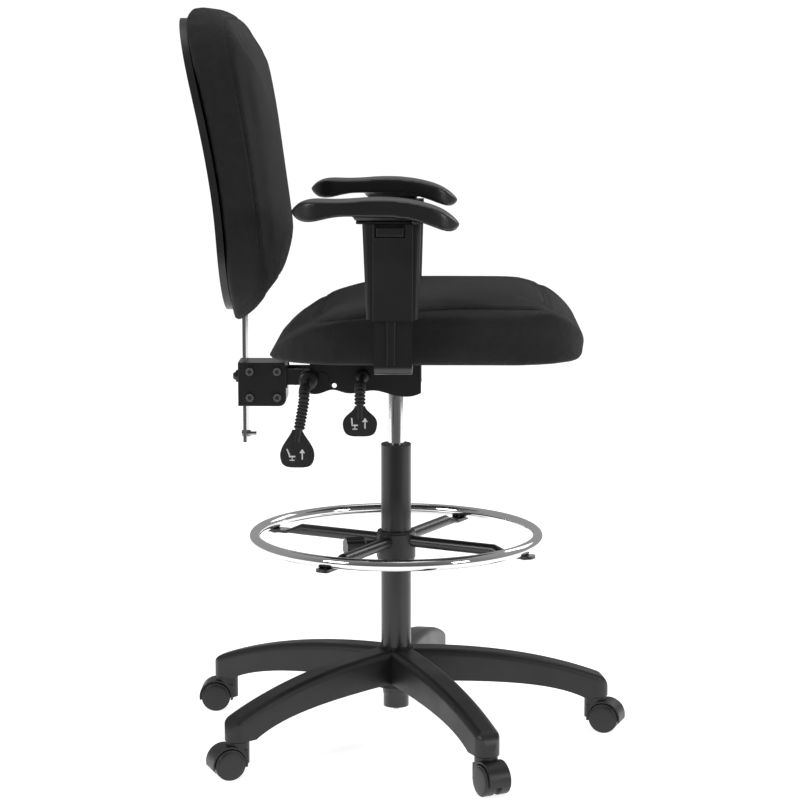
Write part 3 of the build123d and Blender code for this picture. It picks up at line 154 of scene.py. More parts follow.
def new_group(name, inputs, outputs):
    """An empty shader group with its sockets, and its input and output nodes."""
    tree = bpy.data.node_groups.new(name, "ShaderNodeTree")
    for socket_name, socket_type, default in inputs:
        socket = tree.interface.new_socket(socket_name, in_out="INPUT", socket_type=socket_type)
        if default is not None:
            socket.default_value = default
    for socket_name, socket_type in outputs:
        tree.interface.new_socket(socket_name, in_out="OUTPUT", socket_type=socket_type)
    return tree, tree.nodes.new("NodeGroupInput"), tree.nodes.new("NodeGroupOutput")


def grain_group():
    """Spark-eroded mould grain: a fine pebbled height, and a slow mask for uneven gloss."""
    tree, given, out = new_group(
        "Mould Grain",
        [("Vector", "NodeSocketVector", None), ("Scale", "NodeSocketFloat", 900.0)],
        [("Height", "NodeSocketFloat"), ("Mask", "NodeSocketFloat")])
    fine = noise(tree, given.outputs["Vector"], given.outputs["Scale"], 3.0, 0.6)
    slow = noise(tree, given.outputs["Vector"], 14.0, 5.0)
    tree.links.new(fine.outputs[0], out.inputs["Height"])
    tree.links.new(slow.outputs[0], out.inputs["Mask"])
    return tree


def marks_group():
    """Handling marks: thin wandering scratches and a dusty film that settles unevenly."""
    tree, given, out = new_group(
        "Handling Marks",
        [("Vector", "NodeSocketVector", None), ("Scale", "NodeSocketFloat", 40.0)],
        [("Scratches", "NodeSocketFloat"), ("Dust", "NodeSocketFloat")])
    bend = noise(tree, given.outputs["Vector"], 9.0, 2.0)
    warped = add_node(tree, "ShaderNodeMixRGB", [("Fac", 0.12), ("Color1", given.outputs["Vector"]),
                                                 ("Color2", bend.outputs[1])])
    cells = add_node(tree, "ShaderNodeTexVoronoi",
                     [("Vector", warped.outputs[0]), ("Scale", given.outputs["Scale"])],
                     feature="DISTANCE_TO_EDGE")
    thin = add_node(tree, "ShaderNodeMapRange", [("Value", cells.outputs["Distance"]), ("From Min", 0.0),
                                                 ("From Max", 0.012), ("To Min", 1.0), ("To Max", 0.0)])
    patch = noise(tree, given.outputs["Vector"], 22.0, 3.0)
    gate = add_node(tree, "ShaderNodeMapRange", [("Value", patch.outputs[0]), ("From Min", 0.55),
                                                 ("From Max", 0.72)])
    film = noise(tree, given.outputs["Vector"], 60.0, 8.0, 0.7)
    dust = add_node(tree, "ShaderNodeMapRange", [("Value", film.outputs[0]), ("From Min", 0.45),
                                                 ("From Max", 0.8)])
    tree.links.new(maths(tree, "MULTIPLY", thin.outputs[0], gate.outputs[0]), out.inputs["Scratches"])
    tree.links.new(dust.outputs[0], out.inputs["Dust"])
    return tree


def weave_group():
    """A crepe weave laid on by the nearest of three flat directions: thread height, and a painted shade value that
    darkens the valleys and lightens the thread tops, with random slub flecks.
    """
    tree, given, out = new_group(
        "Crepe Weave",
        [("Vector", "NodeSocketVector", None), ("Normal", "NodeSocketVector", None),
         ("Threads per metre", "NodeSocketFloat", 480.0)],
        [("Height", "NodeSocketFloat"), ("Painted Shade And Slubs", "NodeSocketFloat")])
    wander = noise(tree, given.outputs["Vector"], 160.0, 2.0)
    wobble = maths(tree, "MULTIPLY", wander.outputs[0], 2.4)
    place = add_node(tree, "ShaderNodeSeparateXYZ", [(0, given.outputs["Vector"])])
    facing = add_node(tree, "ShaderNodeSeparateXYZ", [(0, given.outputs["Normal"])])
    turn = maths(tree, "MULTIPLY", given.outputs["Threads per metre"], 2 * math.pi)
    waves = []
    for axis in range(3):
        angle = maths(tree, "MULTIPLY_ADD", place.outputs[axis], turn)
        tree.links.new(wobble, angle.node.inputs[2])
        waves.append(maths(tree, "SINE", angle))
    weights = []
    for axis in range(3):
        weights.append(maths(tree, "POWER", maths(tree, "ABSOLUTE", facing.outputs[axis]), 6.0))
    total = maths(tree, "ADD", maths(tree, "ADD", weights[0], weights[1]), weights[2])
    height = None
    for axis in range(3):
        across, along = waves[(axis + 1) % 3], waves[(axis + 2) % 3]
        crossing = maths(tree, "MULTIPLY", across, along)
        share = maths(tree, "DIVIDE", weights[axis], total)
        part = maths(tree, "MULTIPLY", crossing, share)
        height = part if height is None else maths(tree, "ADD", height, part)
    fleck = noise(tree, given.outputs["Vector"], 700.0, 2.0)
    # painted shade: the colour value follows the thread height, darker in the valleys and paler on the tops; the
    # fleck noise adds random slub tone
    painted_shade_and_slubs = maths(tree, "MULTIPLY_ADD", height, 0.3)
    tree.links.new(fleck.outputs[0], painted_shade_and_slubs.node.inputs[2])
    tree.links.new(height, out.inputs["Height"])
    tree.links.new(painted_shade_and_slubs, out.inputs["Painted Shade And Slubs"])
    return tree


GROUPS = {}


def group(name):
    """A shared shader group, built the first time that it is asked for."""
    makers = {"grain": grain_group, "marks": marks_group, "weave": weave_group}
    if name not in GROUPS:
        GROUPS[name] = makers[name]()
    return GROUPS[name]


def place_group(tree, name, inputs):
    """A group node in a material, with its own values."""
    return add_node(tree, "ShaderNodeGroup", inputs, node_tree=group(name))


def blank_material(name):
    """A material with only a Principled shader, its output and Object coordinates."""
    material = bpy.data.materials.new(name)
    material.use_nodes = True
    tree = material.node_tree
    tree.nodes.clear()
    shader = tree.nodes.new("ShaderNodeBsdfPrincipled")
    output = tree.nodes.new("ShaderNodeOutputMaterial")
    tree.links.new(shader.outputs[0], output.inputs[0])
    coordinates = tree.nodes.new("ShaderNodeTexCoord").outputs["Object"]
    return material, tree, shader, coordinates


def two_tone(tree, mask, dark, light):
    """A colour that runs between two tones by a mask."""
    mixed = add_node(tree, "ShaderNodeMixRGB", [("Fac", mask), ("Color1", (*dark, 1)),
                                                ("Color2", (*light, 1))])
    return mixed.outputs[0]


def surface(tree, shader, colour, roughness, height, strength, distance):
    """Wire a colour, a roughness and a bump height into the shader."""
    tree.links.new(colour, shader.inputs["Base Color"])
    tree.links.new(roughness, shader.inputs["Roughness"])
    bump = add_node(tree, "ShaderNodeBump", [("Strength", strength), ("Distance", distance),
                                            ("Height", height)])
    tree.links.new(bump.outputs[0], shader.inputs["Normal"])


# ------------------------------------------------------------------ finishes
def moulded(name, colour, gloss, grain_scale=900.0, grain_depth=0.00012, dust=0.25):
    """Moulded plastic or rubber with mould grain, faint scratches and settled dust."""
    material, tree, shader, place = blank_material(name)
    grain = place_group(tree, "grain", [("Vector", place), ("Scale", grain_scale)])
    marks = place_group(tree, "marks", [("Vector", place)])
    pale = tuple(min(1.0, c * 1.6 + 0.004) for c in colour)
    film = maths(tree, "MULTIPLY", marks.outputs["Dust"], dust)
    colour_out = two_tone(tree, film, colour, pale)
    uneven = add_node(tree, "ShaderNodeMapRange", [("Value", grain.outputs["Mask"]), ("From Min", 0.3),
                                                   ("From Max", 0.7), ("To Min", gloss - 0.05),
                                                   ("To Max", gloss + 0.07)])
    rough = maths(tree, "MULTIPLY_ADD", marks.outputs["Scratches"], 0.12)
    tree.links.new(uneven.outputs[0], rough.node.inputs[2])
    surface(tree, shader, colour_out, rough, grain.outputs["Height"], 0.5, grain_depth)
    return material


def coated_steel(name, colour, gloss):
    """Powder coat: orange-peel skin over steel with a light clear sheen."""
    material, tree, shader, place = blank_material(name)
    peel = place_group(tree, "grain", [("Vector", place), ("Scale", 420.0)])
    marks = place_group(tree, "marks", [("Vector", place), ("Scale", 30.0)])
    pale = tuple(min(1.0, c * 1.9 + 0.006) for c in colour)
    colour_out = two_tone(tree, maths(tree, "MULTIPLY", marks.outputs["Scratches"], 0.35), colour, pale)
    rough = maths(tree, "MULTIPLY_ADD", peel.outputs["Mask"], 0.14)
    rough.node.inputs[2].default_value = gloss - 0.07
    surface(tree, shader, colour_out, rough, peel.outputs["Height"], 0.35, 0.00018)
    shader.inputs["Coat Weight"].default_value = 0.25
    shader.inputs["Coat Roughness"].default_value = 0.18
    return material


def bright_metal(name, colour, gloss, streak=0.0):
    """Chrome or zinc plate: metal with faint smudges, and brushed streaks if asked for."""
    material, tree, shader, place = blank_material(name)
    marks = place_group(tree, "marks", [("Vector", place), ("Scale", 55.0)])
    stretched = add_node(tree, "ShaderNodeMapping", [("Vector", place), ("Scale", (1.0, 1.0, 14.0))])
    lines = place_group(tree, "grain", [("Vector", stretched.outputs[0]), ("Scale", 260.0)])
    dull = tuple(c * 0.86 for c in colour)
    colour_out = two_tone(tree, maths(tree, "MULTIPLY", marks.outputs["Dust"], 0.4), colour, dull)
    rough = maths(tree, "MULTIPLY_ADD", marks.outputs["Dust"], 0.05)
    rough.node.inputs[2].default_value = gloss
    surface(tree, shader, colour_out, rough, lines.outputs["Height"], 0.02 + streak, 0.00005)
    shader.inputs["Metallic"].default_value = 1.0
    return material


def woven_cover(name, settings):
    """Black upholstery: crepe weave with slubs, painted shade in the weave's valleys against paler painted thread
    tops, a soft sheen and slow shade changes.
    """
    material, tree, shader, place = blank_material(name)
    facing = tree.nodes.new("ShaderNodeNewGeometry").outputs["Normal"]
    weave = place_group(tree, "weave", [("Vector", place), ("Normal", facing),
                                        ("Threads per metre", 1 / settings.pitch)])
    marks = place_group(tree, "marks", [("Vector", place)])
    base = tuple(settings.colour)
    pale = tuple(c * 2.2 + 0.003 for c in base)
    # painted shade: the yarn colour runs to a paler tone on the thread tops and stays dark in the weave's valleys
    mixed = two_tone(tree, weave.outputs["Painted Shade And Slubs"], base, pale)
    lint = maths(tree, "MULTIPLY", marks.outputs["Dust"], 0.10)
    colour_out = add_node(tree, "ShaderNodeMixRGB", [("Fac", lint), ("Color1", mixed),
                                                     ("Color2", (0.08, 0.08, 0.082, 1))]).outputs[0]
    rough = maths(tree, "MULTIPLY_ADD", weave.outputs["Painted Shade And Slubs"], -0.12)
    rough.node.inputs[2].default_value = 0.95
    surface(tree, shader, colour_out, rough, weave.outputs["Height"], 0.75, 0.0006)
    shader.inputs["Sheen Weight"].default_value = 0.10
    shader.inputs["Sheen Roughness"].default_value = 0.45
    shader.inputs["Specular IOR Level"].default_value = 0.25
    return material


def stained_ply(name):
    """Black-stained plywood with its long grain showing through."""
    material, tree, shader, place = blank_material(name)
    drawn = add_node(tree, "ShaderNodeMapping", [("Vector", place), ("Scale", (2.0, 30.0, 30.0))])
    rings = noise(tree, drawn.outputs[0], 6.0, 6.0)
    colour_out = two_tone(tree, rings.outputs[0], (0.012, 0.011, 0.010), (0.040, 0.034, 0.028))
    rough = maths(tree, "MULTIPLY_ADD", rings.outputs[0], 0.2)
    rough.node.inputs[2].default_value = 0.6
    surface(tree, shader, colour_out, rough, rings.outputs[0], 0.3, 0.0003)
    return material


MATERIALS = {}


def make_finishes(scene):
    """Every finish of the chair, by the name of its slot in the record."""
    trim, fabric = scene.chair_trim, scene.chair_fabric
    nylon, moulding, coat = tuple(trim.nylon), tuple(trim.moulding), tuple(trim.coat)
    MATERIALS.update({
        "black_nylon": moulded("black_nylon", nylon, 0.42, 1100.0, 0.00010, 0.3),
        "wheel_plastic": moulded("wheel_plastic", nylon, 0.38, 700.0, 0.00006, 0.2),
        "moulded_plastic": moulded("moulded_plastic", moulding, 0.36, 1300.0, 0.00014, 0.2),
        "bush_plastic": moulded("bush_plastic", (0.010, 0.010, 0.010), 0.5),
        "boot_rubber": moulded("boot_rubber", (0.009, 0.009, 0.009), 0.62, 500.0, 0.0002, 0.35),
        "arm_skin": moulded("arm_skin", (0.016, 0.016, 0.0165), 0.33, 1600.0, 0.00009, 0.12),
        "black_steel": coated_steel("black_steel", coat, 0.34),
        "chrome": bright_metal("chrome", (0.78, 0.785, 0.80), 0.05),
        "bright_steel": bright_metal("bright_steel", (0.55, 0.555, 0.57), 0.20, 0.15),
        "screw_steel": bright_metal("screw_steel", (0.42, 0.42, 0.43), 0.27, 0.1),
        "plywood": stained_ply("plywood"),
        "black_fabric": woven_cover("black_fabric", fabric),
        "print_ink": moulded("print_ink", tuple(trim.print_ink), 0.5, 400.0, 0.00003, 0.1),
    })


# ------------------------------------------------------------------ mesh helpers
def link_mesh(name, bm, slot_name, body, smooth=True):
    """Turn a bmesh into a finished piece that has its material and rides on a body."""
    mesh = bpy.data.meshes.new(name)
    bm.to_mesh(mesh)
    bm.free()
    for face in mesh.polygons:
        face.use_smooth = smooth
    piece = bpy.data.objects.new(name, mesh)
    bpy.context.scene.collection.objects.link(piece)
    piece.data.materials.append(MATERIALS[slot_name])
    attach(piece, body)
    return piece


def node_copy(node):
    """A bmesh copy of a CAD node's mesh with its loose triangles joined."""
    bm = bmesh.new()
    bm.from_mesh(frame["nodes"][node].data)
    bmesh.ops.remove_doubles(bm, verts=bm.verts, dist=0.00002)
    return bm


def applied(piece):
    """Replace a piece's mesh by what its modifiers make of it, and clear them."""
    graph = bpy.context.evaluated_depsgraph_get()
    made = bpy.data.meshes.new_from_object(piece.evaluated_get(graph))
    old = piece.data
    piece.modifiers.clear()
    piece.data = made
    bpy.data.meshes.remove(old)


def soft_block(node, name, voxel, passes):
    """An even, rounded mesh over a CAD soft solid, ready to be puffed up."""
    bm = node_copy(node)
    mesh = bpy.data.meshes.new(name)
    bm.to_mesh(mesh)
    bm.free()
    piece = bpy.data.objects.new(name, mesh)
    bpy.context.scene.collection.objects.link(piece)
    even = piece.modifiers.new("even", "REMESH")
    even.mode = "VOXEL"
    even.voxel_size = voxel
    applied(piece)
    bm = bmesh.new()
    bm.from_mesh(piece.data)
    for _ in range(passes):
        bmesh.ops.smooth_vert(bm, verts=bm.verts, factor=0.5,
                              use_axis_x=True, use_axis_y=True, use_axis_z=True)
    bm.to_mesh(piece.data)
    bm.free()
    return piece


def move_points(piece, shift):
    """Move every point of a piece by shift(point, normal)."""
    bm = bmesh.new()
    bm.from_mesh(piece.data)
    bm.normal_update()
    for vert in bm.verts:
        vert.co += shift(vert.co, vert.normal)
    bm.to_mesh(piece.data)
    bm.free()


def even_moves(piece, moves, passes, keep):
    """Average each point's move with its neighbours', and keep a share of what was uneven."""
    links = np.array([edge.vertices[:] for edge in piece.data.edges])
    count = np.bincount(links.ravel(), minlength=len(moves)).reshape(-1, 1)
    even = moves.copy()
    for _ in range(passes):
        total = np.zeros_like(even)
        np.add.at(total, links[:, 0], even[links[:, 1]])
        np.add.at(total, links[:, 1], even[links[:, 0]])
        even = 0.5 * even + 0.5 * total / count
    return even + keep * (moves - even)


def points_of(piece):
    """The places of a piece's points, one row each."""
    flat = np.empty(len(piece.data.vertices) * 3)
    piece.data.vertices.foreach_get("co", flat)
    return flat.reshape(-1, 3)


def puff(piece, held, fabric, before):
    """Swell a cover with cloth pressure from its held points, with every move capped and evened out."""
    pins = piece.vertex_groups.new(name="pins")
    for vert in piece.data.vertices:
        pins.add([vert.index], held(vert.co, vert.normal), "REPLACE")
    cloth = piece.modifiers.new("cloth", "CLOTH")
    cloth.settings.quality = 6
    cloth.settings.mass = 0.25
    cloth.settings.tension_stiffness = 22
    cloth.settings.compression_stiffness = 12
    cloth.settings.shear_stiffness = 9
    cloth.settings.bending_stiffness = 6
    cloth.settings.use_pressure = True
    cloth.settings.uniform_pressure_force = fabric.pressure
    cloth.settings.vertex_group_mass = "pins"
    cloth.settings.effector_weights.gravity = 0
    cloth.point_cache.frame_start = 1
    cloth.point_cache.frame_end = CLOTH_STEPS
    scene = bpy.context.scene
    for step in range(1, CLOTH_STEPS + 1):
        scene.frame_set(step)
    applied(piece)
    scene.frame_set(1)
    moves = points_of(piece) - before
    length = np.linalg.norm(moves, axis=1, keepdims=True)
    moves *= np.minimum(1.0, fabric.cap / np.maximum(length, 1e-9))
    moves = even_moves(piece, moves, 14, fabric.creases)
    piece.data.vertices.foreach_set("co", (before + moves).ravel())
    piece.vertex_groups.clear()


def refine(piece):
    """One round of subdivision, applied."""
    finer = piece.modifiers.new("finer", "SUBSURF")
    finer.levels = 1
    finer.render_levels = 1
    applied(piece)


def swell(piece, held, fabric):
    before = points_of(piece)
    move_points(piece, lambda co, n: -n * fabric.shrink * (1.0 - held(co, n)))
    puff(piece, held, fabric, before)
    refine(piece)


def groove(piece, field, width, depth, where):
    """Pull the cover in along the line where field is zero, as thread does."""
    def shift(co, normal):
        off = abs(field(co))
        if off > width or not where(co, normal):
            return Vector((0, 0, 0))
        return -normal * depth * (1 - (off / width) ** 2) ** 2
    move_points(piece, shift)


def drawn_curve(name, curve):
    """The mesh that a curve draws, as a bmesh. The curve itself is removed."""
    drawn = bpy.data.objects.new(name + "_line", curve)
    bpy.context.scene.collection.objects.link(drawn)
    graph = bpy.context.evaluated_depsgraph_get()
    mesh = bpy.data.meshes.new_from_object(drawn.evaluated_get(graph))
    bpy.data.objects.remove(drawn)
    bpy.data.curves.remove(curve)
    bm = bmesh.new()
    bm.from_mesh(mesh)
    bpy.data.meshes.remove(mesh)
    return bm


def seam_ring(piece, name, field, where, centre, axes, radius, slot_name, body, count=220):
    """A thin raised cord that runs round a cover where field is zero."""
    bins = {}
    verts = piece.data.vertices
    for edge in piece.data.edges:
        a, b = verts[edge.vertices[0]], verts[edge.vertices[1]]
        fa, fb = field(a.co), field(b.co)
        if fa * fb > 0 or fa == fb or not where(a.co, a.normal):
            continue
        spot = a.co.lerp(b.co, fa / (fa - fb))
        turn = math.atan2(spot[axes[1]] - centre[axes[1]], spot[axes[0]] - centre[axes[0]])
        bins.setdefault(int((turn + math.pi) / (2 * math.pi) * count) % count, []).append(spot)
    points = []
    for key in sorted(bins):
        points.append(sum(bins[key], Vector((0, 0, 0))) / len(bins[key]))
    for _ in range(2):
        points = [(points[i - 1] + points[i] * 2 + points[(i + 1) % len(points)]) / 4
                  for i in range(len(points))]
    curve = bpy.data.curves.new(name, "CURVE")
    curve.dimensions = "3D"
    curve.bevel_depth = radius
    curve.bevel_resolution = 2
    spline = curve.splines.new("POLY")
    spline.points.add(len(points) - 1)
    for target, point in zip(spline.points, points):
        target.co = (*point, 1)
    spline.use_cyclic_u = True
    bm = drawn_curve(name, curve)
    bmesh.ops.recalc_face_normals(bm, faces=bm.faces)
    return link_mesh(name, bm, slot_name, body)


def lathe(profile, steps=40):
    """A closed turned shape about Z from (radius, height) pairs that start and end on the axis."""
    bm = bmesh.new()
    verts = [bm.verts.new((radius, 0, height)) for radius, height in profile]
    edges = [bm.edges.new(pair) for pair in zip(verts, verts[1:])]
    bmesh.ops.spin(bm, geom=verts + edges, cent=(0, 0, 0), axis=(0, 0, 1), angle=2 * math.pi, steps=steps,
                   use_merge=True, use_duplicate=False)
    bmesh.ops.remove_doubles(bm, verts=bm.verts, dist=0.00001)
    bmesh.ops.recalc_face_normals(bm, faces=bm.faces)
    return bm


# ------------------------------------------------------------------ upholstery
def seat_seam_field():
    """Height above the seat's side seam, which is level along the middle and falls away to the rear."""
    seam_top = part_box("seat_cushion")[0][2] + SEAT_SEAM_RISE

    def field(co):
        return co.z - (seam_top - SEAT_SEAM_FALL * (co.x - SEAT_SEAM_PEAK_X) ** 2)
    return field


def back_seam_field():
    """Distance in front of the seam between the back's boxing and its front panel."""
    low_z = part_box("back_shell")[0][2] - 0.01

    def field(co):
        rise = max(0.0, co.z - low_z)
        rear = -0.267 - REAR_LEAN * rise - REAR_BEND * rise ** 2
        return co.x - (rear + BACK_BOXING)
    return field


class CHAIR_OT_seat_cover(bpy.types.Operator):
    """Puff up the seat's cover, pull its seam in and lay the seam cord"""
    bl_idname = "chair.seat_cover"
    bl_label = "Seat Cover"

    def execute(self, context):
        fabric = context.scene.chair_fabric
        low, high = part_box("seat_cushion")
        pan_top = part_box("seat_pan")[1][2]
        piece = soft_block("seat_cushion", "seat_cover", fabric.voxel, 9)
        under = pan_top + 2 * MM

        def held(co, normal):
            return 1.0 if co.z < low[2] + 3 * MM or (normal.z < -0.5 and co.z < under) else 0.0

        swell(piece, held, fabric)
        field = seat_seam_field()

        def on_side(co, normal):
            return normal.z > -0.4 and co.z > low[2] + 0.03

        groove(piece, field, 4.5 * MM, 1.7 * MM, on_side)
        centre = Vector([(a + b) / 2 for a, b in zip(low, high)])
        cord = seam_ring(piece, "seat_seam", field, on_side, centre, (0, 1), fabric.seam_radius,
                         "black_fabric", "seat_frame")
        finish_cover(piece, "seat_cushion", "seat_frame")
        return {"FINISHED"}


def rounded_front(low, high, radius):
    """A move that rounds the back's front over towards its outline, deepest at the very edge."""
    half_w, half_h, corner = (high.y - low.y) / 2, (high.z - low.z) / 2, 0.12
    mid_z = (low.z + high.z) / 2
    foot_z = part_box("back_shell")[0][2] - 0.01

    def shift(co, normal):
        across, up = abs(co.y) - half_w + corner, abs(co.z - mid_z) - half_h + corner
        inside = corner - math.hypot(max(across, 0.0), max(up, 0.0)) - min(max(across, up), 0.0)
        near = min(1.0, max(0.0, 1.0 - inside / radius))
        fall = radius * (1.0 - math.sqrt(1.0 - near * near))
        rise = max(0.0, co.z - foot_z)
        rear = -0.255 - REAR_LEAN * rise - REAR_BEND * rise ** 2
        share = min(1.0, max(0.0, (co.x - rear) / 0.06))
        return Vector((-0.55 * fall * share, 0, 0))
    return shift


class CHAIR_OT_back_cover(bpy.types.Operator):
    """Puff up the backrest's cover, pull its seam in and lay the seam cord"""
    bl_idname = "chair.back_cover"
    bl_label = "Back Cover"

    def execute(self, context):
        fabric = context.scene.chair_fabric
        low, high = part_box("back_cushion")
        piece = soft_block("back_cushion", "back_cover", fabric.voxel, 9)
        move_points(piece, rounded_front(low, high, 30 * MM))

        def held(co, normal):
            return 1.0 if normal.x < -0.6 else 0.0

        swell(piece, held, fabric)
        field = back_seam_field()

        def on_side(co, normal):
            return normal.x > -0.5

        groove(piece, field, 4.5 * MM, 1.5 * MM, on_side)
        centre = Vector([(a + b) / 2 for a, b in zip(low, high)])
        cord = seam_ring(piece, "back_seam", field, on_side, centre, (1, 2), fabric.seam_radius,
                         "black_fabric", "backrest")
        finish_cover(piece, "back_cushion", "backrest")
        return {"FINISHED"}


def finish_cover(piece, node, body):
    """Give a cover its cloth and its body, and hide the CAD node that it stands in for."""
    for face in piece.data.polygons:
        face.use_smooth = True
    piece.data.materials.clear()
    piece.data.materials.append(MATERIALS["black_fabric"])
    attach(piece, body)
    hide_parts(node)


class CHAIR_OT_arm_pads(bpy.types.Operator):
    """Round the two arm pads over as soft moulded urethane"""
    bl_idname = "chair.arm_pads"
    bl_label = "Arm Pads"

    def execute(self, context):
        for side in ("right", "left"):
            node = f"arm_pad_{side}"
            piece = soft_block(node, f"arm_pad_skin_{side}", 2.6 * MM, 7)
            refine(piece)
            for face in piece.data.polygons:
                face.use_smooth = True
            piece.data.materials.clear()
            piece.data.materials.append(MATERIALS["arm_skin"])
            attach(piece, f"arm_{side}")
            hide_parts(node)
        return {"FINISHED"}


# ------------------------------------------------------------------ levers
def lever_line(lever, reach):
    """Points from the lower end of a lever's boot, up its rod, round the bend and on towards the seat."""
    low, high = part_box(f"{lever}_rod")
    rod_r, bend = 4 * MM, 16 * MM
    head = Vector((high.x - rod_r, low.y + rod_r, high.z - rod_r))
    foot = Vector((low.x + rod_r, low.y + rod_r, low.z))
    turn_in = Vector((head.x, head.y, head.z - bend))
    start_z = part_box(f"{lever}_boot")[0].z
    start = foot.lerp(turn_in, (start_z - foot.z) / (turn_in.z - foot.z))
    steps = max(8, round((turn_in - start).length / (0.7 * MM)))
    points = [start.lerp(turn_in, k / steps) for k in range(steps)]
    for k in range(37):
        angle = math.radians(2.5 * k)
        points.append(Vector((head.x, head.y + bend * (1 - math.cos(angle)),
                              turn_in.z + bend * math.sin(angle))))
    last = points[-1]
    return points + [last + Vector((0, 0.7 * MM * k, 0)) for k in range(1, round(reach / (0.7 * MM)))]


def ribbed_tube(name, points, crest, valley, pitch):
    """A closed tube along points whose radius swells and shrinks into ribs."""
    curve = bpy.data.curves.new(name, "CURVE")
    curve.dimensions = "3D"
    curve.bevel_depth = 1.0
    curve.bevel_resolution = 6
    curve.use_fill_caps = True
    spline = curve.splines.new("POLY")
    spline.points.add(len(points) - 1)
    travel = 0.0
    for k, point in enumerate(points):
        travel += (point - points[k - 1]).length if k else 0.0
        spline.points[k].co = (*point, 1)
        spline.points[k].radius = valley + (crest - valley) * abs(math.sin(math.pi * travel / pitch)) ** 0.7
    bm = drawn_curve(name, curve)
    bmesh.ops.remove_doubles(bm, verts=bm.verts, dist=0.00001)
    bmesh.ops.recalc_face_normals(bm, faces=bm.faces)
    return bm


class CHAIR_OT_boots(bpy.types.Operator):
    """Draw the ribbed rubber boots round the bends of the two levers, and the bosses that they start from"""
    bl_idname = "chair.boots"
    bl_label = "Lever Boots"

    def execute(self, context):
        trim = context.scene.chair_trim
        for lever, reach in (("back_lever", 14 * MM), ("height_lever", 6 * MM)):
            low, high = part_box(f"{lever}_boot")
            crest = (high.y - low.y) / 2
            points = lever_line(lever, reach)
            bm = ribbed_tube(f"{lever}_bellows", points, crest, crest - 2.6 * MM, trim.boot_pitch)
            piece = link_mesh(f"{lever}_bellows", bm, "boot_rubber", lever)
            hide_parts(f"{lever}_boot")
        for lever, radius in (("back_lever", 16 * MM), ("height_lever", 11 * MM)):
            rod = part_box(f"{lever}_rod")[1]
            bm = lathe([(0, 0), (radius, 0), (radius, 10 * MM), (radius - 1.5 * MM, 12.5 * MM),
                        (radius - 5 * MM, 14 * MM), (0, 14 * MM)], 48)
            wall_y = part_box("mechanism_cone")[0].y - 3 * MM
            spot = Matrix.Translation((rod.x - 4 * MM, wall_y, rod.z - 4 * MM))
            bmesh.ops.transform(bm, matrix=spot @ Matrix.Rotation(math.pi / 2, 4, "X"), verts=bm.verts)
            piece = link_mesh(f"{lever}_boss", bm, "moulded_plastic", "seat_frame")
        return {"FINISHED"}


class CHAIR_OT_screw_socket_shade(bpy.types.Operator):
    """Lay dark hexagons on the heads of the clamp's screws, as painted shade that stands in for the shade inside
    their sockets
    """
    bl_idname = "chair.screw_sockets"
    bl_label = "Screw Socket Shade"

    def execute(self, context):
        low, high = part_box("back_clamp_screws")
        head_r, key_r = 6.5 * MM, 3.6 * MM
        bm = bmesh.new()
        for x in (low.x + head_r, high.x - head_r):
            for z in (low.z + head_r, high.z - head_r):
                for y, out in ((low.y, -1), (high.y, 1)):
                    # painted shade: a thin dark hexagon on the head stands in for the shaded hollow of its hex
                    # socket
                    made = bmesh.ops.create_cone(bm, cap_ends=True, segments=6, radius1=key_r, radius2=key_r,
                                                 depth=0.5 * MM)
                    place = (Matrix.Translation((x, y + out * 0.05 * MM, z))
                             @ Matrix.Rotation(math.pi / 2, 4, "X"))
                    bmesh.ops.transform(bm, matrix=place, verts=made["verts"])
        # the hexagons take the black bush plastic as painted socket shade
        piece = link_mesh("clamp_screw_socket_shade", bm, "bush_plastic", "back_bracket", smooth=False)
        return {"FINISHED"}


def flat_shape(bm, outline, centre, y, thickness):
    """Add a flat printed shape, given as (x, z) points in millimetres about centre, facing -Y."""
    verts = [bm.verts.new((centre.x + x * MM, y, centre.z + z * MM)) for x, z in outline]
    face = bm.faces.new(verts)
    made = bmesh.ops.extrude_face_region(bm, geom=[face])
    moved = [item for item in made["geom"] if isinstance(item, bmesh.types.BMVert)]
    bmesh.ops.translate(bm, verts=moved, vec=(0, -thickness, 0))


def bar_shape(start, end, width):
    """The four corners of a straight printed stroke."""
    (x0, z0), (x1, z1) = start, end
    length = math.hypot(x1 - x0, z1 - z0)
    nx, nz = -(z1 - z0) / length * width / 2, (x1 - x0) / length * width / 2
    return [(x0 + nx, z0 + nz), (x1 + nx, z1 + nz), (x1 - nx, z1 - nz), (x0 - nx, z0 - nz)]


class CHAIR_OT_prints(bpy.types.Operator):
    """Print a plain seat sign and an arrow on each paddle"""
    bl_idname = "chair.prints"
    bl_label = "Paddle Prints"

    def execute(self, context):
        for lever in ("back_lever", "height_lever"):
            low, high = (Vector(corner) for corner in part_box(f"{lever}_paddle"))
            middle = Vector(((low.x + high.x) / 2, 0, low.z + 21 * MM))
            face_y = (low.y + high.y) / 2 - 3.5 * MM + 0.03 * MM
            bm = bmesh.new()
            tilt = 3.0 if lever == "back_lever" else 0.0
            strokes = [((-13, -3), (-3, -3), 2.2), ((-12, -1.5), (-13 - tilt, 9), 2.2),
                       ((-8, -4), (-8, -8), 1.6),
                       ((-12, -9), (-4, -9), 1.6), ((8, -8), (8, 3), 2.0)]
            for start, end, width in strokes:
                flat_shape(bm, bar_shape(start, end, width), middle, face_y, 0.15 * MM)
            flat_shape(bm, [(3.5, 2.5), (8, 9), (12.5, 2.5)], middle, face_y, 0.15 * MM)
            bmesh.ops.recalc_face_normals(bm, faces=bm.faces)
            piece = link_mesh(f"{lever}_sign", bm, "print_ink", lever, smooth=False)
        return {"FINISHED"}


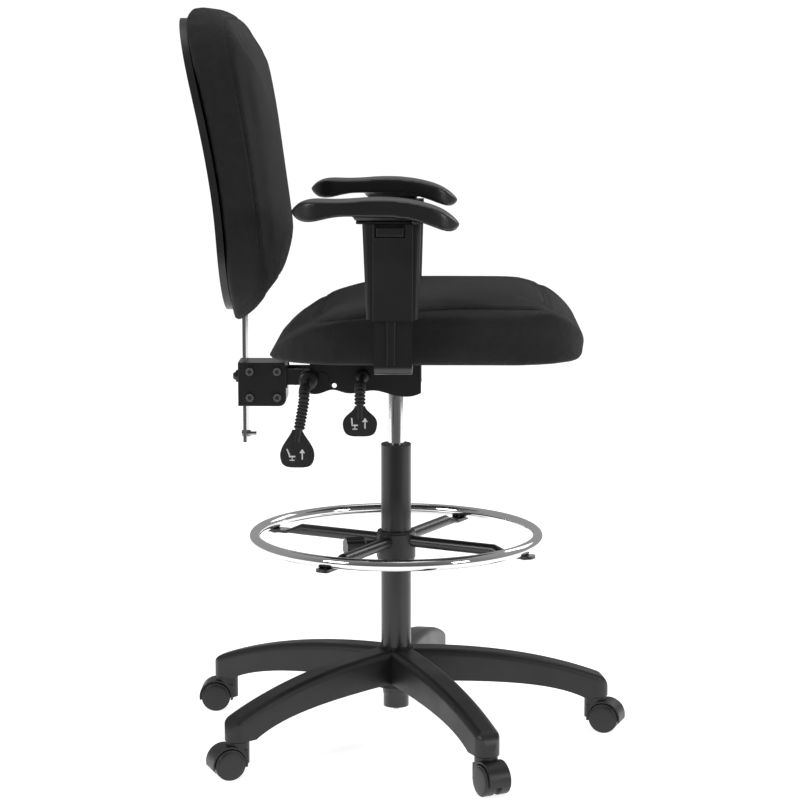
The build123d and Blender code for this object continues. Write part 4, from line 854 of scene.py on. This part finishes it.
# ------------------------------------------------------------------ casters
class CHAIR_OT_wheel_caps(bpy.types.Operator):
    """Press a shallow domed cap on the outer face of every wheel"""
    bl_idname = "chair.wheel_caps"
    bl_label = "Wheel Caps"

    def execute(self, context):
        for joint in frame["joints"]:
            if not joint["name"].endswith("_roll"):
                continue
            number = joint["child"].rsplit("_", 1)[1]
            centre, axis = Vector(joint["pos_m"]), Vector(joint["axis"]).normalized()
            radius = centre.z - 3 * MM
            profile = [(0, 0), (radius, 0), (radius, 0.5 * MM), (radius - 1.2 * MM, 1.0 * MM),
                       (radius * 0.72, 1.35 * MM), (radius * 0.4, 1.6 * MM), (0, 1.7 * MM)]
            for side, sign in (("a", 1), ("b", -1)):
                bm = lathe(profile, 48)
                out = axis * sign
                face = centre + out * (21.5 * MM - 0.05 * MM)
                turn = Vector((0, 0, 1)).rotation_difference(out).to_matrix().to_4x4()
                bmesh.ops.transform(bm, matrix=Matrix.Translation(face) @ turn, verts=bm.verts)
                piece = link_mesh(f"wheel_cap_{number}{side}", bm, "wheel_plastic", joint["child"])
        return {"FINISHED"}


# ------------------------------------------------------------------ CAD finishes
class CHAIR_OT_cad_finishes(bpy.types.Operator):
    """Give every CAD piece the finish of its slot in the record"""
    bl_idname = "chair.cad_finishes"
    bl_label = "CAD Finishes"

    def execute(self, context):
        make_finishes(context.scene)
        for entry in frame["record"]["subparts"]:
            shown = frame["nodes"][entry["node"]]
            shown.data.materials.clear()
            shown.data.materials.append(MATERIALS[entry["material_slot"]])
        return {"FINISHED"}


# ------------------------------------------------------------------ stage
class CHAIR_OT_stage(bpy.types.Operator):
    """Set up the pale floor, the soft lamps and the camera"""
    bl_idname = "chair.stage"
    bl_label = "Stage"

    def execute(self, context):
        studio = context.scene.chair_studio
        material, tree, shader, place = blank_material("studio_floor")
        cloud = noise(tree, place, 0.6, 2.0)
        tone = two_tone(tree, cloud.outputs[0], (0.86, 0.86, 0.86), (0.88, 0.88, 0.88))
        tree.links.new(tone, shader.inputs["Base Color"])
        shader.inputs["Roughness"].default_value = 0.9
        shader.inputs["Specular IOR Level"].default_value = 0.1
        shader.inputs["Emission Color"].default_value = (1, 1, 1, 1)
        shader.inputs["Emission Strength"].default_value = studio.floor_glow
        bm = bmesh.new()
        bmesh.ops.create_grid(bm, x_segments=1, y_segments=1, size=3.6,
                              matrix=Matrix.Translation((0, 2.3, 0)))
        mesh = bpy.data.meshes.new("floor")
        bm.to_mesh(mesh)
        bm.free()
        mesh.materials.append(material)
        floor = bpy.data.objects.new("floor", mesh)
        context.scene.collection.objects.link(floor)

        world = bpy.data.worlds.new("studio")
        context.scene.world = world
        world.use_nodes = True
        tree = world.node_tree
        sky = tree.nodes["Background"]
        sky.inputs["Color"].default_value = (1.0, 1.0, 1.0, 1)
        seen = tree.nodes.new("ShaderNodeLightPath").outputs["Is Camera Ray"]
        aim = tree.nodes.new("ShaderNodeTexCoord").outputs["Generated"]
        across = add_node(tree, "ShaderNodeSeparateXYZ", [(0, aim)]).outputs["Y"]
        room = add_node(tree, "ShaderNodeMapRange", [("Value", across), ("From Min", -0.9), ("From Max", 0.1),
                                                     ("To Min", studio.sky * 0.38), ("To Max", studio.sky)])
        level = add_node(tree, "ShaderNodeMapRange", [("Value", seen), ("To Min", room.outputs[0]),
                                                      ("To Max", 1.05)])
        tree.links.new(level.outputs[0], sky.inputs["Strength"])
        context.scene.view_settings.view_transform = "Standard"

        target = Vector((0, 0, 0.6))
        lamps = [("key", (-2.8, -2.6, 2.2), 1.2, 46), ("fill", (3.0, -2.4, 1.6), 0.9, 30),
                 ("rim", (2.6, 2.6, 2.6), 1.6, 26), ("crown", (0.2, 0.2, 3.4), 2.2, 22)]
        for name, spot, size, power in lamps:
            data = bpy.data.lights.new(name, "AREA")
            data.shape = "SQUARE"
            data.size = size
            data.energy = power * studio.power
            lamp = bpy.data.objects.new(name, data)
            lamp.location = spot
            lamp.rotation_euler = (target - Vector(spot)).to_track_quat("-Z", "Y").to_euler()
            context.scene.collection.objects.link(lamp)

        view = bpy.data.cameras.new("camera")
        view.sensor_width = 36.0
        view.lens = studio.lens
        view.clip_end = 60.0
        camera = bpy.data.objects.new("camera", view)
        camera.location = (studio.aside, -studio.distance, studio.height)
        camera.rotation_euler = (math.pi / 2 - studio.pitch, 0, studio.yaw)
        context.scene.collection.objects.link(camera)
        context.scene.camera = camera
        return {"FINISHED"}


# ------------------------------------------------------------------ add-on
OPERATORS = (CHAIR_OT_cad_finishes, CHAIR_OT_stage, CHAIR_OT_seat_cover, CHAIR_OT_back_cover,
             CHAIR_OT_arm_pads, CHAIR_OT_boots, CHAIR_OT_screw_socket_shade, CHAIR_OT_prints, CHAIR_OT_wheel_caps)


class CHAIR_PT_panel(bpy.types.Panel):
    """The chair's sizes, colours and steps"""
    bl_idname = "CHAIR_PT_panel"
    bl_label = "Drafting Chair"
    bl_space_type = "VIEW_3D"
    bl_region_type = "UI"
    bl_category = "Drafting Chair"

    def draw(self, context):
        for settings in (context.scene.chair_fabric, context.scene.chair_trim, context.scene.chair_studio):
            box = self.layout.box()
            for key in settings.__annotations__:
                box.prop(settings, key)
        for operator in OPERATORS:
            self.layout.operator(operator.bl_idname)


CLASSES = (ChairFabric, ChairTrim, ChairStudio, *OPERATORS, CHAIR_PT_panel)


def register():
    for cls in CLASSES:
        bpy.utils.register_class(cls)
    bpy.types.Scene.chair_fabric = PointerProperty(type=ChairFabric)
    bpy.types.Scene.chair_trim = PointerProperty(type=ChairTrim)
    bpy.types.Scene.chair_studio = PointerProperty(type=ChairStudio)


def unregister():
    del bpy.types.Scene.chair_studio
    del bpy.types.Scene.chair_trim
    del bpy.types.Scene.chair_fabric
    for cls in reversed(CLASSES):
        bpy.utils.unregister_class(cls)


def main():
    register()
    bpy.ops.chair.cad_finishes()
    bpy.ops.chair.stage()
    bpy.ops.chair.seat_cover()
    bpy.ops.chair.back_cover()
    bpy.ops.chair.arm_pads()
    bpy.ops.chair.boots()
    bpy.ops.chair.screw_sockets()
    bpy.ops.chair.prints()
    bpy.ops.chair.wheel_caps()


if __name__ == "__main__":
    main()
